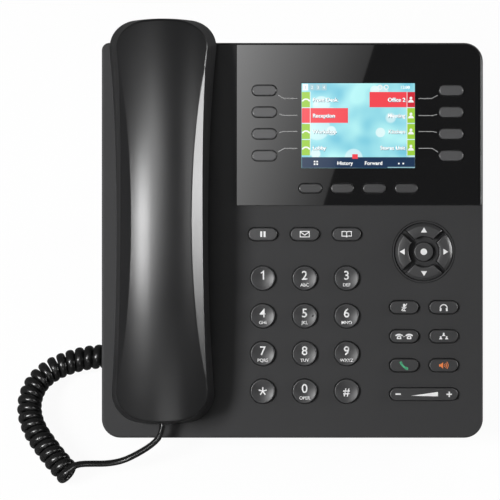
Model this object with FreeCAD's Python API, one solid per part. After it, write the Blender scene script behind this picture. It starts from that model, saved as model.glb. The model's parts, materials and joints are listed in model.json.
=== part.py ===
import FreeCAD, Part
import math
import os

from FreeCAD import Placement, Rotation, Vector

# Desk IP phone on its stand, with a handset on a curly cord.
# Every piece is modelled in the face frame: X to the right, Y up the face, Z out of the face,
# with the face at Z 0 and the lower edge of the body at Y 0. The whole phone is then tilted
# back and lifted so that its rubber feet stand on Z 0. All sizes are in millimetres.

# Body
body_width = 193.0
body_length = 200.0
body_depth = 25.0
tilt = 35.0
cover_depth = 11.0
wall = 2.2
face_plate = 2.8
corner_radius = 9.5
handset_corner_radius = 3.8
edge_round = 1.2
back_step = 0.6
back_inset = 3.0
lip_height = 2.0
lip_wall = 1.2
seat_gap = 0.15

# Display panel and screen
panel_left_from_right = 125.1
panel_bottom_from_top = 82.6
panel_rim = 0.8
panel_thickness = 1.6
panel_rise = 0.3
screen_from_right = 63.2
screen_from_top = 42.0
screen_width = 57.6
screen_height = 43.2
screen_sink = 0.2
screen_frame_border = 4.2
screen_frame_depth = 2.6

# Keys
key_gap = 0.25
key_rise = 1.3
key_edge = 0.55
key_travel = 0.9
flange_lip = 0.9
flange_thickness = 0.8
flange_gap = 0.2
dome_extra = 0.3

dial_diameter = 12.4
dial_crown = 0.5
dial_from_right = 90.3
dial_pitch_x = 21.2
pip_from_centre = 4.4
pip_radius = 0.5
pip_rise = 0.25

pill_length = 14.5
pill_width = 6.5
line_key_length = 12.2
line_key_width = 5.1
line_key_pitch = 11.0
line_key_top_from_top = 24.2
line_key_left_from_right = 110.7
line_key_right_from_right = 16.3
soft_key_length = 11.5
soft_key_width = 4.6
soft_key_pitch = 16.13
soft_key_below_screen = 10.1

function_from_right = 30.1
function_pitch_x = 20.0
volume_length = 34.4
volume_gap = 0.4
volume_post_from_centre = 12.0
volume_post_inset = 1.0
pivot_radius = 0.8
pivot_length = 11.0
pivot_clearance = 0.06
pivot_web = 0.4
pivot_lug = 1.6
pivot_lug_half = 2.2

nav_outer = 14.4
nav_inner = 7.9
nav_cross = 2.5
nav_ok_radius = 4.9
nav_recess_radius = 16.0
nav_recess_depth = 0.7
nav_rise = 0.9
nav_dome_radius = 2.2

# Rows of keys, as shares of the height of the face below the panel
feature_share = 0.8782
dial_bottom_share = 0.2019
dial_pitch_share = 0.1623
nav_share = 0.8024
function_bottom_share = 0.3135
function_pitch_share = 0.125
volume_share = 0.1891

# Inside the body
mat_thickness = 0.8
mat_margin = 2.0
mat_corner = 6.0
dome_inset = 0.6
dome_flare = 0.7
board_thickness = 1.6
board_margin = 6.0
board_left_from_right = 123.1
part_clearance = 0.4
post_radius = 2.0
post_from_panel = (8.0, 4.0)
boss_radius = 2.8
screw_radius = 1.4
screw_clearance = 0.1
screw_head_radius = 2.7
screw_head_height = 1.6
screw_head_sunk = 0.6
screw_cross = (3.0, 0.8, 0.8)
screw_bite = 9.0
screw_edge = 9.0
screw_top = 10.0
screw_low = 29.5
screw_left_low = 62.0
screw_from_panel = 4.4

# Chips under the board: middle from the right edge, middle above the jacks' mouths, two sides and height
chips = (
    (69.5, 33.0, 14.0, 14.0, 1.2),
    (47.5, 32.0, 10.0, 8.0, 1.0),
    (30.5, 54.0, 12.0, 12.0, 1.4),
    (103.5, 47.0, 10.0, 6.0, 2.2),
    (26.5, 18.0, 8.0, 12.0, 3.0),
)

# Handset
handset_from_left = 31.2
handset_extra_length = 6.0
handset_bottom = 6.5
handset_wall = 2.2
ear_half_width = 30.0
waist_half_width = 25.8
mouth_half_width = 28.2
ear_half_top = 17.1
waist_half_top = 18.2
mouth_half_top = 18.9
waist_share = 0.539
end_draft = 4.0
crown_top = 27.0
crown_sag = 10.0
crown_cross_radius = 46.0
facet_angle = 45.0
facet_reach = 27.9
facet_sag = 2.4
split_mid = 13.5
split_sag = 7.0
under_mid = 9.0
under_sag = 7.8
ear_corner = 15.0
mouth_corner = 16.5
ear_end_bow = 4.0
mouth_end_bow = 4.6
crown_edge = 1.6
ear_pad_radius = 20.0
ear_pad_from_top = 40.5
mouth_pad_radius = 18.5
mouth_pad_from_bottom = 29.5
pad_drop = 5.0
pad_edge = 1.6
cup_gap = 0.6
cup_floor_gap = 0.4
sound_hole_radius = 1.1
sound_hole_count = 6
ear_hole_ring = 6.0
mouth_hole_ring = 4.5
receiver_radius = 15.0
receiver_height = 5.5
microphone_radius = 4.8
microphone_height = 4.0
seam_gap = 0.2
handset_skirt = 2.0
pad_top = 8.0
handset_port_z = 7.1
handset_plug_sink = 5.0

# Hook switch plunger, under the ear cup
hook_length = 9.0
hook_width = 5.0
hook_travel = 3.0
hook_flange = 1.2
hook_from_pad = 12.0

# Loudspeaker behind the slots under the grip
speaker_radius = 21.0
speaker_depth = 9.5
speaker_above_middle = 6.0
speaker_ring = 3.0
grille_slots = 9
grille_pitch = 4.0
grille_slot_width = 1.6
grille_margin = 4.0

# Jack bay in the back, jacks and plugs
bay_beside_jack = 11.0
bay_right = 62.0
bay_length = 28.0
bay_top_share = 0.46
bay_floor = 9.8
jack_wall = 2.0
network_jack_width = 15.2
network_jack_height = 13.0
network_jack_length = 20.0
network_port_width = 11.9
network_port_height = 8.0
network_port_depth = 13.5
network_jack_x = (4.0, 25.0)
cord_jack_width = 11.0
cord_jack_height = 12.0
cord_jack_length = 17.0
cord_port_width = 7.9
cord_port_height = 6.8
cord_port_depth = 11.0
handset_jack_from_handset = 21.3
cord_jack_pitch = 18.0
power_jack_x = 47.0
power_jack_width = 9.4
power_jack_height = 11.0
power_jack_length = 14.0
power_bore_radius = 3.1
power_bore_depth = 9.5
power_pin_radius = 1.05
jack_drop = 0.6
latch_notch = 1.3
plug_gap = 0.2
plug_length = 14.0

# Wall mount keyholes, vents and stand slots in the back
keyhole_spacing = 76.0
keyhole_from_top = 34.0
keyhole_radius = 4.2
keyhole_slot_radius = 2.2
keyhole_slot = 9.0
vent_count = 7
vent_pitch = 4.5
vent_length = 30.0
vent_width = 1.8
vent_from_side = 40.0
vents_below_bay = 34.0

# Stand and feet
foot_height = 1.5
foot_seat = 0.6
foot_length = 22.0
foot_width = 8.0
foot_edge = 0.4
foot_from_side = 24.0
foot_from_band = 2.2
rest_band = 14.0
stand_width = 118.0
stand_wall = 3.0
stand_low_share = 0.485
stand_high_share = 0.73
stand_heel = 150.0
stand_toe = 122.0
stand_bow = (6.0, 5.0)
stand_gap = 0.2
stand_foot_margin = 4.0
stand_window_width = 78.0
stand_window_height = 34.0
stand_window_low = 14.0
hook_tab_width = 9.0
hook_tab_depth = 2.4
hook_tab_grip = 2.5
hook_tab_low = 5.0
hook_tab_high = 9.0

# Curly cord: its coil lies on the desk, along arcs given by length and turn in degrees.
# Points of the base tail: X from the jack, Y from the plug's rear, Z as a share of the rear's height.
# Points of the handset tail: X from the handset's middle, then Y and Z on the desk.
cord_diameter = 3.4
coil_diameter = 13.0
coil_turns = 32
coil_steps = 4
coil_floor_gap = 0.2
coil_start = (0.7, 54.0)
coil_heading = 182.5
coil_arcs = ((56.6, -2.0), (25.1, 32.4), (38.3, 83.9), (35.1, 17.0))
bend_share = 0.45
plug_lead = 8.2
coil_lead = 5.1
base_tail_points = ((0.6, -10.0, 0.758), (1.6, -8.0, 0.539), (2.3, -8.8, 0.367), (2.3, -12.7, 0.264))
handset_tail_points = ((-35.0, -10.9, 10.8), (-28.2, -11.6, 8.6), (-20.2, -10.3, 8.8), (-11.7, -8.0, 13.2),
                       (-4.5, -5.2, 17.5))

# Working sizes: the least corner, and the overlap of pieces that are joined
least_corner = 0.6
overlap = 0.5

# Values worked out from the sizes above
left_edge = -body_width / 2
right_edge = body_width / 2
lean = math.radians(tilt)
plate_under = -face_plate
flange_top = plate_under - flange_gap
flange_bottom = flange_top - flange_thickness
mat_top = flange_bottom - key_travel - dome_extra
board_top = mat_top - mat_thickness
board_under = board_top - board_thickness
inside_back = -body_depth + wall
dial_x = right_edge - dial_from_right
function_x = right_edge - function_from_right
screen_x = right_edge - screen_from_right
screen_y = body_length - screen_from_top
soft_key_y = screen_y - screen_height / 2 - soft_key_below_screen
line_key_y = body_length - line_key_top_from_top
panel_left = right_edge - panel_left_from_right
panel_bottom = body_length - panel_bottom_from_top
panel_floor = panel_rise - panel_thickness
feature_row = feature_share * panel_bottom
dial_bottom_row = dial_bottom_share * panel_bottom
dial_pitch_y = dial_pitch_share * panel_bottom
nav_row = nav_share * panel_bottom
function_bottom_row = function_bottom_share * panel_bottom
function_pitch_y = function_pitch_share * panel_bottom
volume_row = volume_share * panel_bottom
handset_x = left_edge + handset_from_left
handset_length = body_length + handset_extra_length
handset_top = handset_bottom + handset_length
handset_mid = handset_bottom + handset_length / 2
ear_pad_y = handset_top - ear_pad_from_top
mouth_pad_y = handset_bottom + mouth_pad_from_bottom
speaker_row = (ear_pad_y + mouth_pad_y) / 2 + speaker_above_middle
handset_jack_x = handset_x + handset_jack_from_handset
headset_jack_x = handset_jack_x + cord_jack_pitch
bay_left = handset_jack_x - bay_beside_jack
bay_top = bay_top_share * body_length
bay_bottom = bay_top - bay_length
keyhole_row = body_length - keyhole_from_top
stand_low = stand_low_share * body_length
stand_high = stand_high_share * body_length
cup_floor = -pad_drop - cup_floor_gap
pad_floor = -pad_drop + handset_wall
band_level = rest_band * math.sin(lean) - body_depth * math.cos(lean)
lift = foot_height - band_level
screw_places = [
    (left_edge + screw_edge, screw_left_low),
    (left_edge + screw_edge, body_length - screw_top),
    (panel_left - screw_from_panel, screw_low),
    (panel_left - screw_from_panel, body_length - screw_top),
    (right_edge - screw_edge, screw_low),
    (right_edge - screw_edge, body_length - screw_top),
]
post_places = [
    (dial_x - dial_pitch_x / 2, dial_bottom_row + dial_pitch_y / 2),
    (dial_x + dial_pitch_x / 2, dial_bottom_row + 5 * dial_pitch_y / 2),
    (function_x, function_bottom_row + function_pitch_y / 2),
    (panel_left + post_from_panel[0], panel_bottom - post_from_panel[1]),
]


# Shape helpers
def prism(wire, low, high):
    """Closed flat wire drawn at Z 0, filled and stretched from one height to another."""
    face = Part.Face(wire)
    face.translate(Vector(0, 0, low))
    return face.extrude(Vector(0, 0, high - low))


def box(x, y, z):
    """Box from three (low, high) pairs."""
    size = [high - low for low, high in (x, y, z)]
    return Part.makeBox(*size, Vector(x[0], y[0], z[0]))


def disc(x, y, radius, low, high):
    return Part.makeCylinder(radius, high - low, Vector(x, y, low))


def pill_wire(x, y, length, width):
    """Outline with two straight sides and round ends, lying along X."""
    run = (length - width) / 2
    half = width / 2
    a, b = Vector(x - run, y - half, 0), Vector(x + run, y - half, 0)
    c, d = Vector(x + run, y + half, 0), Vector(x - run, y + half, 0)
    right = Part.Arc(b, Vector(x + run + half, y, 0), c)
    left = Part.Arc(d, Vector(x - run - half, y, 0), a)
    return Part.Wire([e.toShape() for e in (Part.LineSegment(a, b), right, Part.LineSegment(c, d), left)])


def rounded_wire(x, y, radii):
    """Rectangle from (low, high) pairs, with radii at top left, top right, bottom right and bottom left."""
    corners = [(x[0], y[1], 1, -1), (x[1], y[1], -1, -1), (x[1], y[0], -1, 1), (x[0], y[0], 1, 1)]
    middle = 1 - math.sqrt(0.5)
    edges = []
    ends = []
    for (cx, cy, sx, sy), r in zip(corners, radii):
        beside, below = Vector(cx + sx * r, cy, 0), Vector(cx, cy + sy * r, 0)
        first, last = (below, beside) if sx * sy < 0 else (beside, below)
        between = Vector(cx + sx * r * middle, cy + sy * r * middle, 0)
        ends.append((first, last, between))
    for i, (first, last, between) in enumerate(ends):
        edges.append(Part.Arc(first, between, last).toShape())
        edges.append(Part.LineSegment(last, ends[(i + 1) % 4][0]).toShape())
    return Part.Wire(edges)


def body_wire(inset):
    """Body outline drawn in by an inset, with the small corner beside the handset's ear end."""
    big = max(corner_radius - inset, least_corner)
    small = max(handset_corner_radius - inset, least_corner)
    x = (left_edge + inset, right_edge - inset)
    return rounded_wire(x, (inset, body_length - inset), (small, big, big, big))


def at_height(wire, z):
    moved = wire.copy()
    moved.translate(Vector(0, 0, z))
    return moved


def edges_at(shape, z):
    """Edges of a shape that lie wholly at one height."""
    return [e for e in shape.Edges if abs(e.BoundBox.ZMin - z) < 1e-4 and abs(e.BoundBox.ZMax - z) < 1e-4]


def rounded_top(solid, z, radius):
    return solid.makeFillet(radius, edges_at(solid, z))


def fuse_all(first, others):
    return first.fuse(others).removeSplitter()


def to_desk(shape):
    """Turns a piece from the face frame to the desk frame, before the phone is centred."""
    moved = shape.copy()
    moved.Placement = Placement(Vector(0, 0, lift), Rotation(Vector(1, 0, 0), tilt)).multiply(moved.Placement)
    return moved


def to_face(shape):
    """Turns a piece drawn in the desk frame to the face frame."""
    moved = shape.copy()
    back = Placement(Vector(0, 0, lift), Rotation(Vector(1, 0, 0), tilt)).inverse()
    moved.Placement = back.multiply(moved.Placement)
    return moved


def desk_point(y, z):
    """Y and Z in the desk frame of a point of the face frame."""
    return y * math.cos(lean) - z * math.sin(lean), y * math.sin(lean) + z * math.cos(lean) + lift


# Key layout: name, X, Y, length and width of each pill key
def pill_keys():
    keys = []
    for column, name in enumerate(("hold_key", "message_key", "directory_key")):
        keys.append((name, dial_x + (column - 1) * dial_pitch_x, feature_row, pill_length, pill_width))
    names = (("send_key", "speaker_key"), ("transfer_key", "conference_key"), ("mute_key", "headset_key"))
    for row, pair in enumerate(names):
        for column, name in enumerate(pair):
            x = function_x + (column - 0.5) * function_pitch_x
            keys.append((name, x, function_bottom_row + row * function_pitch_y, pill_length, pill_width))
    for row in range(4):
        y = line_key_y - row * line_key_pitch
        left = right_edge - line_key_left_from_right
        right = right_edge - line_key_right_from_right
        keys.append((f"line_key_{row + 1}", left, y, line_key_length, line_key_width))
        keys.append((f"line_key_{row + 5}", right, y, line_key_length, line_key_width))
    for column in range(4):
        x = screen_x + (column - 1.5) * soft_key_pitch
        keys.append((f"soft_key_{column + 1}", x, soft_key_y, soft_key_length, soft_key_width))
    return keys


def dial_keys():
    names = (("star", "0", "hash"), ("7", "8", "9"), ("4", "5", "6"), ("1", "2", "3"))
    for row, trio in enumerate(names):
        for column, name in enumerate(trio):
            x = dial_x + (column - 1) * dial_pitch_x
            yield f"dial_key_{name}", x, dial_bottom_row + row * dial_pitch_y


def pill_key(x, y, length, width):
    """Moulded pill cap with a softened rim and the flange that holds it under the plate."""
    cap = rounded_top(prism(pill_wire(x, y, length, width), flange_top, key_rise), key_rise, key_edge)
    lip = 2 * flange_lip
    flange = prism(pill_wire(x, y, length + lip, width + lip), flange_bottom, flange_top)
    return fuse_all(cap, [flange])


def dial_key(x, y):
    """Round cap with a crowned top, turned from one profile."""
    r = dial_diameter / 2
    top = key_rise + dial_crown
    rim = key_rise - key_edge
    brow = Vector(r - key_edge, 0, key_rise)
    turn = Vector(r - 0.25 * key_edge, 0, key_rise - 0.3 * key_edge)
    crown = Part.Arc(Vector(0, 0, top), Vector(r * 0.55, 0, key_rise + dial_crown * 0.68), brow).toShape()
    shoulder = Part.Arc(brow, turn, Vector(r, 0, rim)).toShape()
    below = [Vector(r, 0, rim), Vector(r, 0, flange_top), Vector(r + flange_lip, 0, flange_top),
             Vector(r + flange_lip, 0, flange_bottom), Vector(0, 0, flange_bottom), Vector(0, 0, top)]
    edges = [crown, shoulder] + [Part.LineSegment(a, b).toShape() for a, b in zip(below, below[1:])]
    key = Part.Face(Part.Wire(edges)).revolve(Vector(0, 0, 0), Vector(0, 0, 1), 360)
    key.translate(Vector(x, y, 0))
    return key


def middle_dial_key(x, y):
    """Dial key with the raised pip that fingers find the middle of the keypad by."""
    top = key_rise + pip_rise
    pip = rounded_top(disc(x + pip_from_centre, y, pip_radius, 0, top), top, pip_rise)
    return fuse_all(dial_key(x, y), [pip])


def nav_ring(outer, inner, cross, low, high):
    """Ring cut by a diagonal cross into four sectors, in the order right, up, left, down."""
    ring = disc(function_x, nav_row, outer, low, high).cut(disc(function_x, nav_row, inner, low, high))
    reach = 2 * outer
    bar = box((-reach, reach), (-cross / 2, cross / 2), (low, high))
    bars = []
    for angle in (45, -45):
        turned = bar.copy()
        turned.Placement = Placement(Vector(function_x, nav_row, 0), Rotation(Vector(0, 0, 1), angle))
        bars.append(turned)
    sectors = ring.cut(bars).Solids

    def turn_of(solid):
        centre = solid.CenterOfMass
        return round(math.degrees(math.atan2(centre.y - nav_row, centre.x - function_x)) / 90) % 4

    return sorted(sectors, key=turn_of)


def nav_keys():
    caps = nav_ring(nav_outer, nav_inner, nav_cross, flange_top, nav_rise)
    lip = flange_lip * 0.7
    flanges = nav_ring(nav_outer + lip, nav_inner - lip, nav_cross - 2 * lip, flange_bottom, flange_top)
    names = ("nav_right_key", "nav_up_key", "nav_left_key", "nav_down_key")
    keys = {}
    for name, cap, flange in zip(names, caps, flanges):
        keys[name] = fuse_all(rounded_top(cap, nav_rise, key_edge), [flange])
    cap = rounded_top(disc(function_x, nav_row, nav_ok_radius, flange_top, nav_rise), nav_rise, key_edge)
    flange = disc(function_x, nav_row, nav_ok_radius + lip, flange_bottom, flange_top)
    keys["nav_ok_key"] = fuse_all(cap, [flange])
    return keys


def volume_key():
    """Long rocker on a trunnion, with a post over each of its two switches."""
    cap = prism(pill_wire(function_x, volume_row, volume_length, pill_width), flange_top, key_rise)
    cap = rounded_top(cap, key_rise, key_edge)
    axle_start = Vector(function_x, volume_row - pivot_length / 2, pivot_z())
    axle = Part.makeCylinder(pivot_radius, pivot_length, axle_start, Vector(0, 1, 0))
    half = pivot_radius + pivot_web
    half_y = pill_width / 2 - 2 * seat_gap
    web = box((function_x - half, function_x + half), (volume_row - half_y, volume_row + half_y),
              (pivot_z(), flange_top))
    radius = pill_width / 2 - volume_post_inset
    posts = [disc(function_x + side * volume_post_from_centre, volume_row, radius, flange_bottom, flange_top)
             for side in (-1, 1)]
    return fuse_all(cap, [axle, web] + posts)


def pivot_z():
    """Height of the rocker's axle, midway between the plate and the board."""
    return (plate_under + board_top) / 2


def pivot_lugs():
    """Two eyes under the plate that carry the rocker's trunnion."""
    lugs = []
    for side in (-1, 1):
        inner = volume_row + side * (pill_width / 2 + key_gap + 2 * seat_gap)
        y = sorted((inner, inner + side * pivot_lug))
        lugs.append(box((function_x - pivot_lug_half, function_x + pivot_lug_half), y,
                        (board_top + seat_gap, plate_under + overlap)))
    return lugs


def key_holes():
    """Openings through the face and panel, a named gap larger than each key."""
    low, high = plate_under - 1, key_rise + 1
    holes = [prism(pill_wire(x, y, length + 2 * key_gap, width + 2 * key_gap), low, high)
             for name, x, y, length, width in pill_keys()]
    holes += [disc(x, y, dial_diameter / 2 + key_gap, low, high) for name, x, y in dial_keys()]
    holes += nav_ring(nav_outer + key_gap, nav_inner - key_gap, nav_cross - 2 * key_gap, low, high)
    holes.append(disc(function_x, nav_row, nav_ok_radius + key_gap, low, high))
    rocker = pill_wire(function_x, volume_row, volume_length + 2 * volume_gap, pill_width + 2 * key_gap)
    holes.append(prism(rocker, low, high))
    return holes


def screen_prism(grow, low, high):
    half_x, half_y = screen_width / 2 + grow, screen_height / 2 + grow
    return box((screen_x - half_x, screen_x + half_x), (screen_y - half_y, screen_y + half_y), (low, high))


def panel_wire(gap):
    """Glossy panel outline, drawn in by the rim at the body's top and right edges and by a gap."""
    corner = max(corner_radius - panel_rim - gap, least_corner)
    x = (panel_left + gap, right_edge - panel_rim - gap)
    y = (panel_bottom + gap, body_length - panel_rim - gap)
    return rounded_wire(x, y, (least_corner, corner, least_corner, least_corner))


def display_panel():
    panel = prism(panel_wire(seat_gap), panel_floor, panel_rise)
    panel = rounded_top(panel, panel_rise, panel_rise * 0.8)
    return panel.cut(key_holes() + [screen_prism(seat_gap, panel_floor - 1, panel_rise + 1)])


def lcd_module():
    """Framed screen under the plate, with its glass standing up into the panel's window."""
    glass = screen_prism(0, flange_top, panel_rise - screen_sink)
    frame = screen_prism(screen_frame_border, flange_top - screen_frame_depth, flange_top)
    return fuse_all(glass, [frame])


# Housing
def cup_places():
    return ((ear_pad_y, ear_pad_radius), (mouth_pad_y, mouth_pad_radius))


def grille():
    """Slots over the loudspeaker, shorter towards the rim of its round cone."""
    slots = []
    reach = speaker_radius - grille_margin
    for i in range(grille_slots):
        offset = (i - (grille_slots - 1) / 2) * grille_pitch
        length = 2 * math.sqrt(reach ** 2 - offset ** 2) if abs(offset) < reach else 2 * grille_slot_width
        wire = pill_wire(handset_x, speaker_row + offset, length, grille_slot_width)
        slots.append(prism(wire, plate_under - 1, 1))
    return slots


def front_cover():
    """Top housing: face plate, skirt, handset cups, bosses and every opening in the face."""
    shell = rounded_top(prism(body_wire(0), -cover_depth, 0), 0, edge_round)
    shell = shell.cut(prism(body_wire(wall), -cover_depth - 1, plate_under))
    inside = []
    joined = plate_under + overlap
    for y, radius in cup_places():
        inside.append(disc(handset_x, y, radius + cup_gap + wall, cup_floor - wall, joined))
    for x, y in screw_places:
        inside.append(disc(x, y, boss_radius, inside_back + seat_gap, joined))
    for x, y in post_places:
        inside.append(disc(x, y, post_radius, board_top, joined))
    ring_low = plate_under - speaker_ring
    ring_bore = speaker_radius + seat_gap
    ring = disc(handset_x, speaker_row, ring_bore + wall, ring_low, joined)
    inside.append(ring.cut(disc(handset_x, speaker_row, ring_bore, ring_low - 1, plate_under)))
    shell = fuse_all(shell, inside + pivot_lugs())

    cuts = key_holes() + grille()
    cuts.append(prism(panel_wire(0), panel_floor, 1))
    cuts.append(screen_prism(2 * seat_gap, plate_under - 1, 1))
    cuts.append(disc(function_x, nav_row, nav_recess_radius, -nav_recess_depth, 1))
    for y, radius in cup_places():
        cuts.append(disc(handset_x, y, radius + cup_gap, cup_floor, 1))
    for x, y in screw_places:
        cuts.append(disc(x, y, screw_radius + screw_clearance, inside_back - 1, inside_back + screw_bite + 1))
    slot = hook_length / 2 + key_gap, hook_width / 2 + key_gap
    cuts.append(box((handset_x - slot[0], handset_x + slot[0]), (hook_y() - slot[1], hook_y() + slot[1]),
                    (cup_floor - wall - 1, 0)))
    eye_start = Vector(function_x, volume_row - pivot_length / 2 - overlap, pivot_z())
    eye_length = pivot_length + 2 * overlap
    cuts.append(Part.makeCylinder(pivot_radius + pivot_clearance, eye_length, eye_start, Vector(0, 1, 0)))
    return shell.cut(cuts)


def back_loft(inset, top, floor):
    """Tapering tub from the joint line to the back, drawn in by an inset."""
    upper = at_height(body_wire(back_step + inset), top)
    lower = at_height(body_wire(back_inset + inset), floor)
    return Part.makeLoft([upper, lower], True, True)


def below_band(offset):
    """Everything under the slanted band that the lower feet stand on, raised by an offset."""
    reach = 2 * body_length
    low = foot_height + offset
    return to_face(box((-reach, reach), (-reach, reach), (low - reach, low)))


def bay_box(grow, low):
    """Jack bay sunk into the back, grown by a wall for its own housing."""
    x = (bay_left - grow, bay_right + grow)
    return box(x, (bay_bottom - grow, bay_top + grow), (low, -bay_floor + grow))


def jack_z(height):
    """Middle height of a jack that hangs under the board."""
    return board_under - height / 2


def jack_mouths():
    """Openings in the upper wall of the bay, a little larger than each jack's body."""
    sizes = [(x, network_jack_width, network_jack_height) for x in network_jack_x]
    sizes += [(x, cord_jack_width, cord_jack_height) for x in (handset_jack_x, headset_jack_x)]
    sizes.append((power_jack_x, power_jack_width, power_jack_height))
    mouths = []
    for x, width, height in sizes:
        half = width / 2 + seat_gap
        mouths.append(box((x - half, x + half), (bay_top - 1, bay_top + jack_wall + 1),
                          (board_under - height - seat_gap, -bay_floor + wall + 1)))
    return mouths


def keyhole(x):
    """Wall hook opening: a round entry for the screw head with a narrow slot above it."""
    low, high = -body_depth - 1, inside_back + 1
    entry = disc(x, keyhole_row, keyhole_radius, low, high)
    half = keyhole_slot_radius
    neck = box((x - half, x + half), (keyhole_row, keyhole_row + keyhole_slot), (low, high))
    return [entry, neck, disc(x, keyhole_row + keyhole_slot, half, low, high)]


def vents():
    slots = []
    for side_x in (left_edge + vent_from_side, right_edge - vent_from_side):
        for i in range(vent_count):
            y = bay_bottom - vents_below_bay + i * vent_pitch
            wire = pill_wire(side_x, y, vent_length, vent_width)
            slots.append(prism(wire, -body_depth - 1, inside_back + 1))
    return slots


def hook_tab_places():
    x = stand_width / 2 - hook_tab_width
    rows = (stand_low + hook_tab_low, stand_high - hook_tab_high)
    return [(side * x, y) for side in (-1, 1) for y in rows]


def back_cover():
    """Rear tub with the slanted rest band, jack bay, screw seats, keyholes, vents and stand slots."""
    shell = back_loft(0, -cover_depth, -body_depth).cut(below_band(0))
    hollow = back_loft(wall, -cover_depth + 1, inside_back).cut(below_band(wall))
    lip_low, lip_high = -cover_depth - lip_height, -cover_depth + lip_height
    lip = prism(body_wire(wall + seat_gap), lip_low, lip_high)
    lip = lip.cut(prism(body_wire(wall + seat_gap + lip_wall), lip_low - 1, lip_high + 1))
    outer = back_loft(0, -cover_depth, -body_depth)
    rim = prism(body_wire(0), -cover_depth, 0).fuse(outer)
    shell = shell.cut(hollow).fuse(lip.common(rim))
    shell = fuse_all(shell, [bay_box(jack_wall, -body_depth), hook_post()])

    cuts = [bay_box(0, -body_depth - 1)] + jack_mouths() + vents()
    for x, y in screw_places:
        cuts.append(disc(x, y, screw_radius + screw_clearance, -body_depth - 1, inside_back + 1))
        cuts.append(disc(x, y, screw_head_radius + screw_clearance, -body_depth - 1, screw_seat()))
    for side in (-1, 1):
        cuts += keyhole(side * keyhole_spacing / 2)
    for x, y in hook_tab_places():
        half = hook_tab_width / 2 + 2 * seat_gap
        slot_y = (y - 2 * seat_gap, y + hook_tab_depth + hook_tab_grip + 2 * seat_gap)
        cuts.append(box((x - half, x + half), slot_y, (-body_depth - 1, inside_back + 1)))
    cuts += body_foot_seats()
    return shell.cut(cuts)


def screw_seat():
    """Height of the floor that the screw heads draw against."""
    return -body_depth + screw_head_height * screw_head_sunk


def housing_screws():
    """Pan head screws that draw the back onto the bosses."""
    screws = []
    seat = screw_seat()
    tip = seat - screw_head_height
    long, short = screw_cross[0] / 2, screw_cross[1] / 2
    sunk = (tip - 1, tip + screw_cross[2])
    for x, y in screw_places:
        head = disc(x, y, screw_head_radius, tip, seat)
        head = head.makeFillet(screw_head_height / 3, edges_at(head, tip))
        upright = box((x - short, x + short), (y - long, y + long), sunk)
        across = box((x - long, x + long), (y - short, y + short), sunk)
        shank = disc(x, y, screw_radius, seat - screw_clearance, inside_back + screw_bite)
        screws.append(fuse_all(head.cut([upright, across]), [shank]))
    return Part.makeCompound(screws)


# Feet and stand, drawn in the desk frame
def foot(x, y, low, high):
    return prism(pill_wire(x, y, foot_length, foot_width), low, high)


def body_foot_y():
    """Middle of the slanted band in the desk frame."""
    upper, _ = desk_point(rest_band, -body_depth)
    return upper - foot_width / 2 - foot_from_band


def body_foot_places():
    return [(side * (body_width / 2 - foot_from_side), body_foot_y()) for side in (-1, 1)]


def stand_foot_places():
    middle = (stand_heel + stand_toe) / 2
    x = stand_width / 2 - foot_length / 2 - stand_foot_margin
    return [(side * x, middle) for side in (-1, 1)]


def body_foot_seats():
    seats = []
    for x, y in body_foot_places():
        wire = pill_wire(x, y, foot_length + 2 * seat_gap, foot_width + 2 * seat_gap)
        seats.append(to_face(prism(wire, foot_height - 1, foot_height + foot_seat)))
    return seats


def rubber_feet():
    feet = []
    for x, y in body_foot_places() + stand_foot_places():
        pad = foot(x, y, 0, foot_height + foot_seat)
        feet.append(to_face(pad.makeChamfer(foot_edge, edges_at(pad, 0))))
    return Part.makeCompound(feet)


def stand_side():
    """Side profile of the stand: along the back, down to the heel, along the desk and up a bowed edge."""
    low_y, low_z = desk_point(stand_low, -body_depth - stand_gap)
    high_y, high_z = desk_point(stand_high, -body_depth - stand_gap)
    a, b = Vector(0, low_y, low_z), Vector(0, high_y, high_z)
    c, d = Vector(0, stand_heel, foot_height), Vector(0, stand_toe, foot_height)
    bow = (d + a) * 0.5 + Vector(0, *stand_bow)
    front = Part.Arc(d, bow, a).toShape()
    lines = [Part.LineSegment(p, q).toShape() for p, q in ((a, b), (b, c), (c, d))]
    return a, b, c, d, Part.Wire(lines + [front])


def stand():
    """Moulded bracket: two side webs, a back flange, a rear plate with a cable window and a foot."""
    a, b, c, d, profile = stand_side()
    half = stand_width / 2
    whole = Part.Face(profile).extrude(Vector(stand_width, 0, 0))
    whole.translate(Vector(-half, 0, 0))
    middle = Part.Face(profile).extrude(Vector(stand_width - 2 * stand_wall, 0, 0))
    middle.translate(Vector(-half + stand_wall, 0, 0))

    along_back = (b - a).normalize()
    out_of_back = Vector(0, -along_back.z, along_back.y)
    down_rear = (c - b).normalize()
    into_stand = Vector(0, down_rear.z, -down_rear.y)

    def strip(start, along, across, length, thickness):
        end, step = start + along * length, across * thickness
        face = Part.Face(Part.makePolygon([start, end, end + step, start + step, start]))
        solid = face.extrude(Vector(stand_width, 0, 0))
        solid.translate(Vector(-half, 0, 0))
        return solid

    flange = strip(a, along_back, out_of_back * -1, (b - a).Length, stand_wall)
    rear = strip(b, down_rear, into_stand, (c - b).Length, stand_wall)
    sole = box((-half, half), (stand_toe, stand_heel), (foot_height, foot_height + stand_wall))
    skins = flange.fuse([rear, sole]).common(whole)
    bracket = fuse_all(whole.cut(middle), [skins])

    window_low = foot_height + stand_window_low
    window = box((-stand_window_width / 2, stand_window_width / 2), (stand_toe, 2 * stand_heel),
                 (window_low, window_low + stand_window_height))
    seats = []
    for x, y in stand_foot_places():
        wire = pill_wire(x, y, foot_length + 2 * seat_gap, foot_width + 2 * seat_gap)
        seats.append(prism(wire, foot_height - 1, foot_height + foot_seat))
    bracket = to_face(bracket.cut([window] + seats))
    return fuse_all(bracket, stand_hooks())


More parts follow.
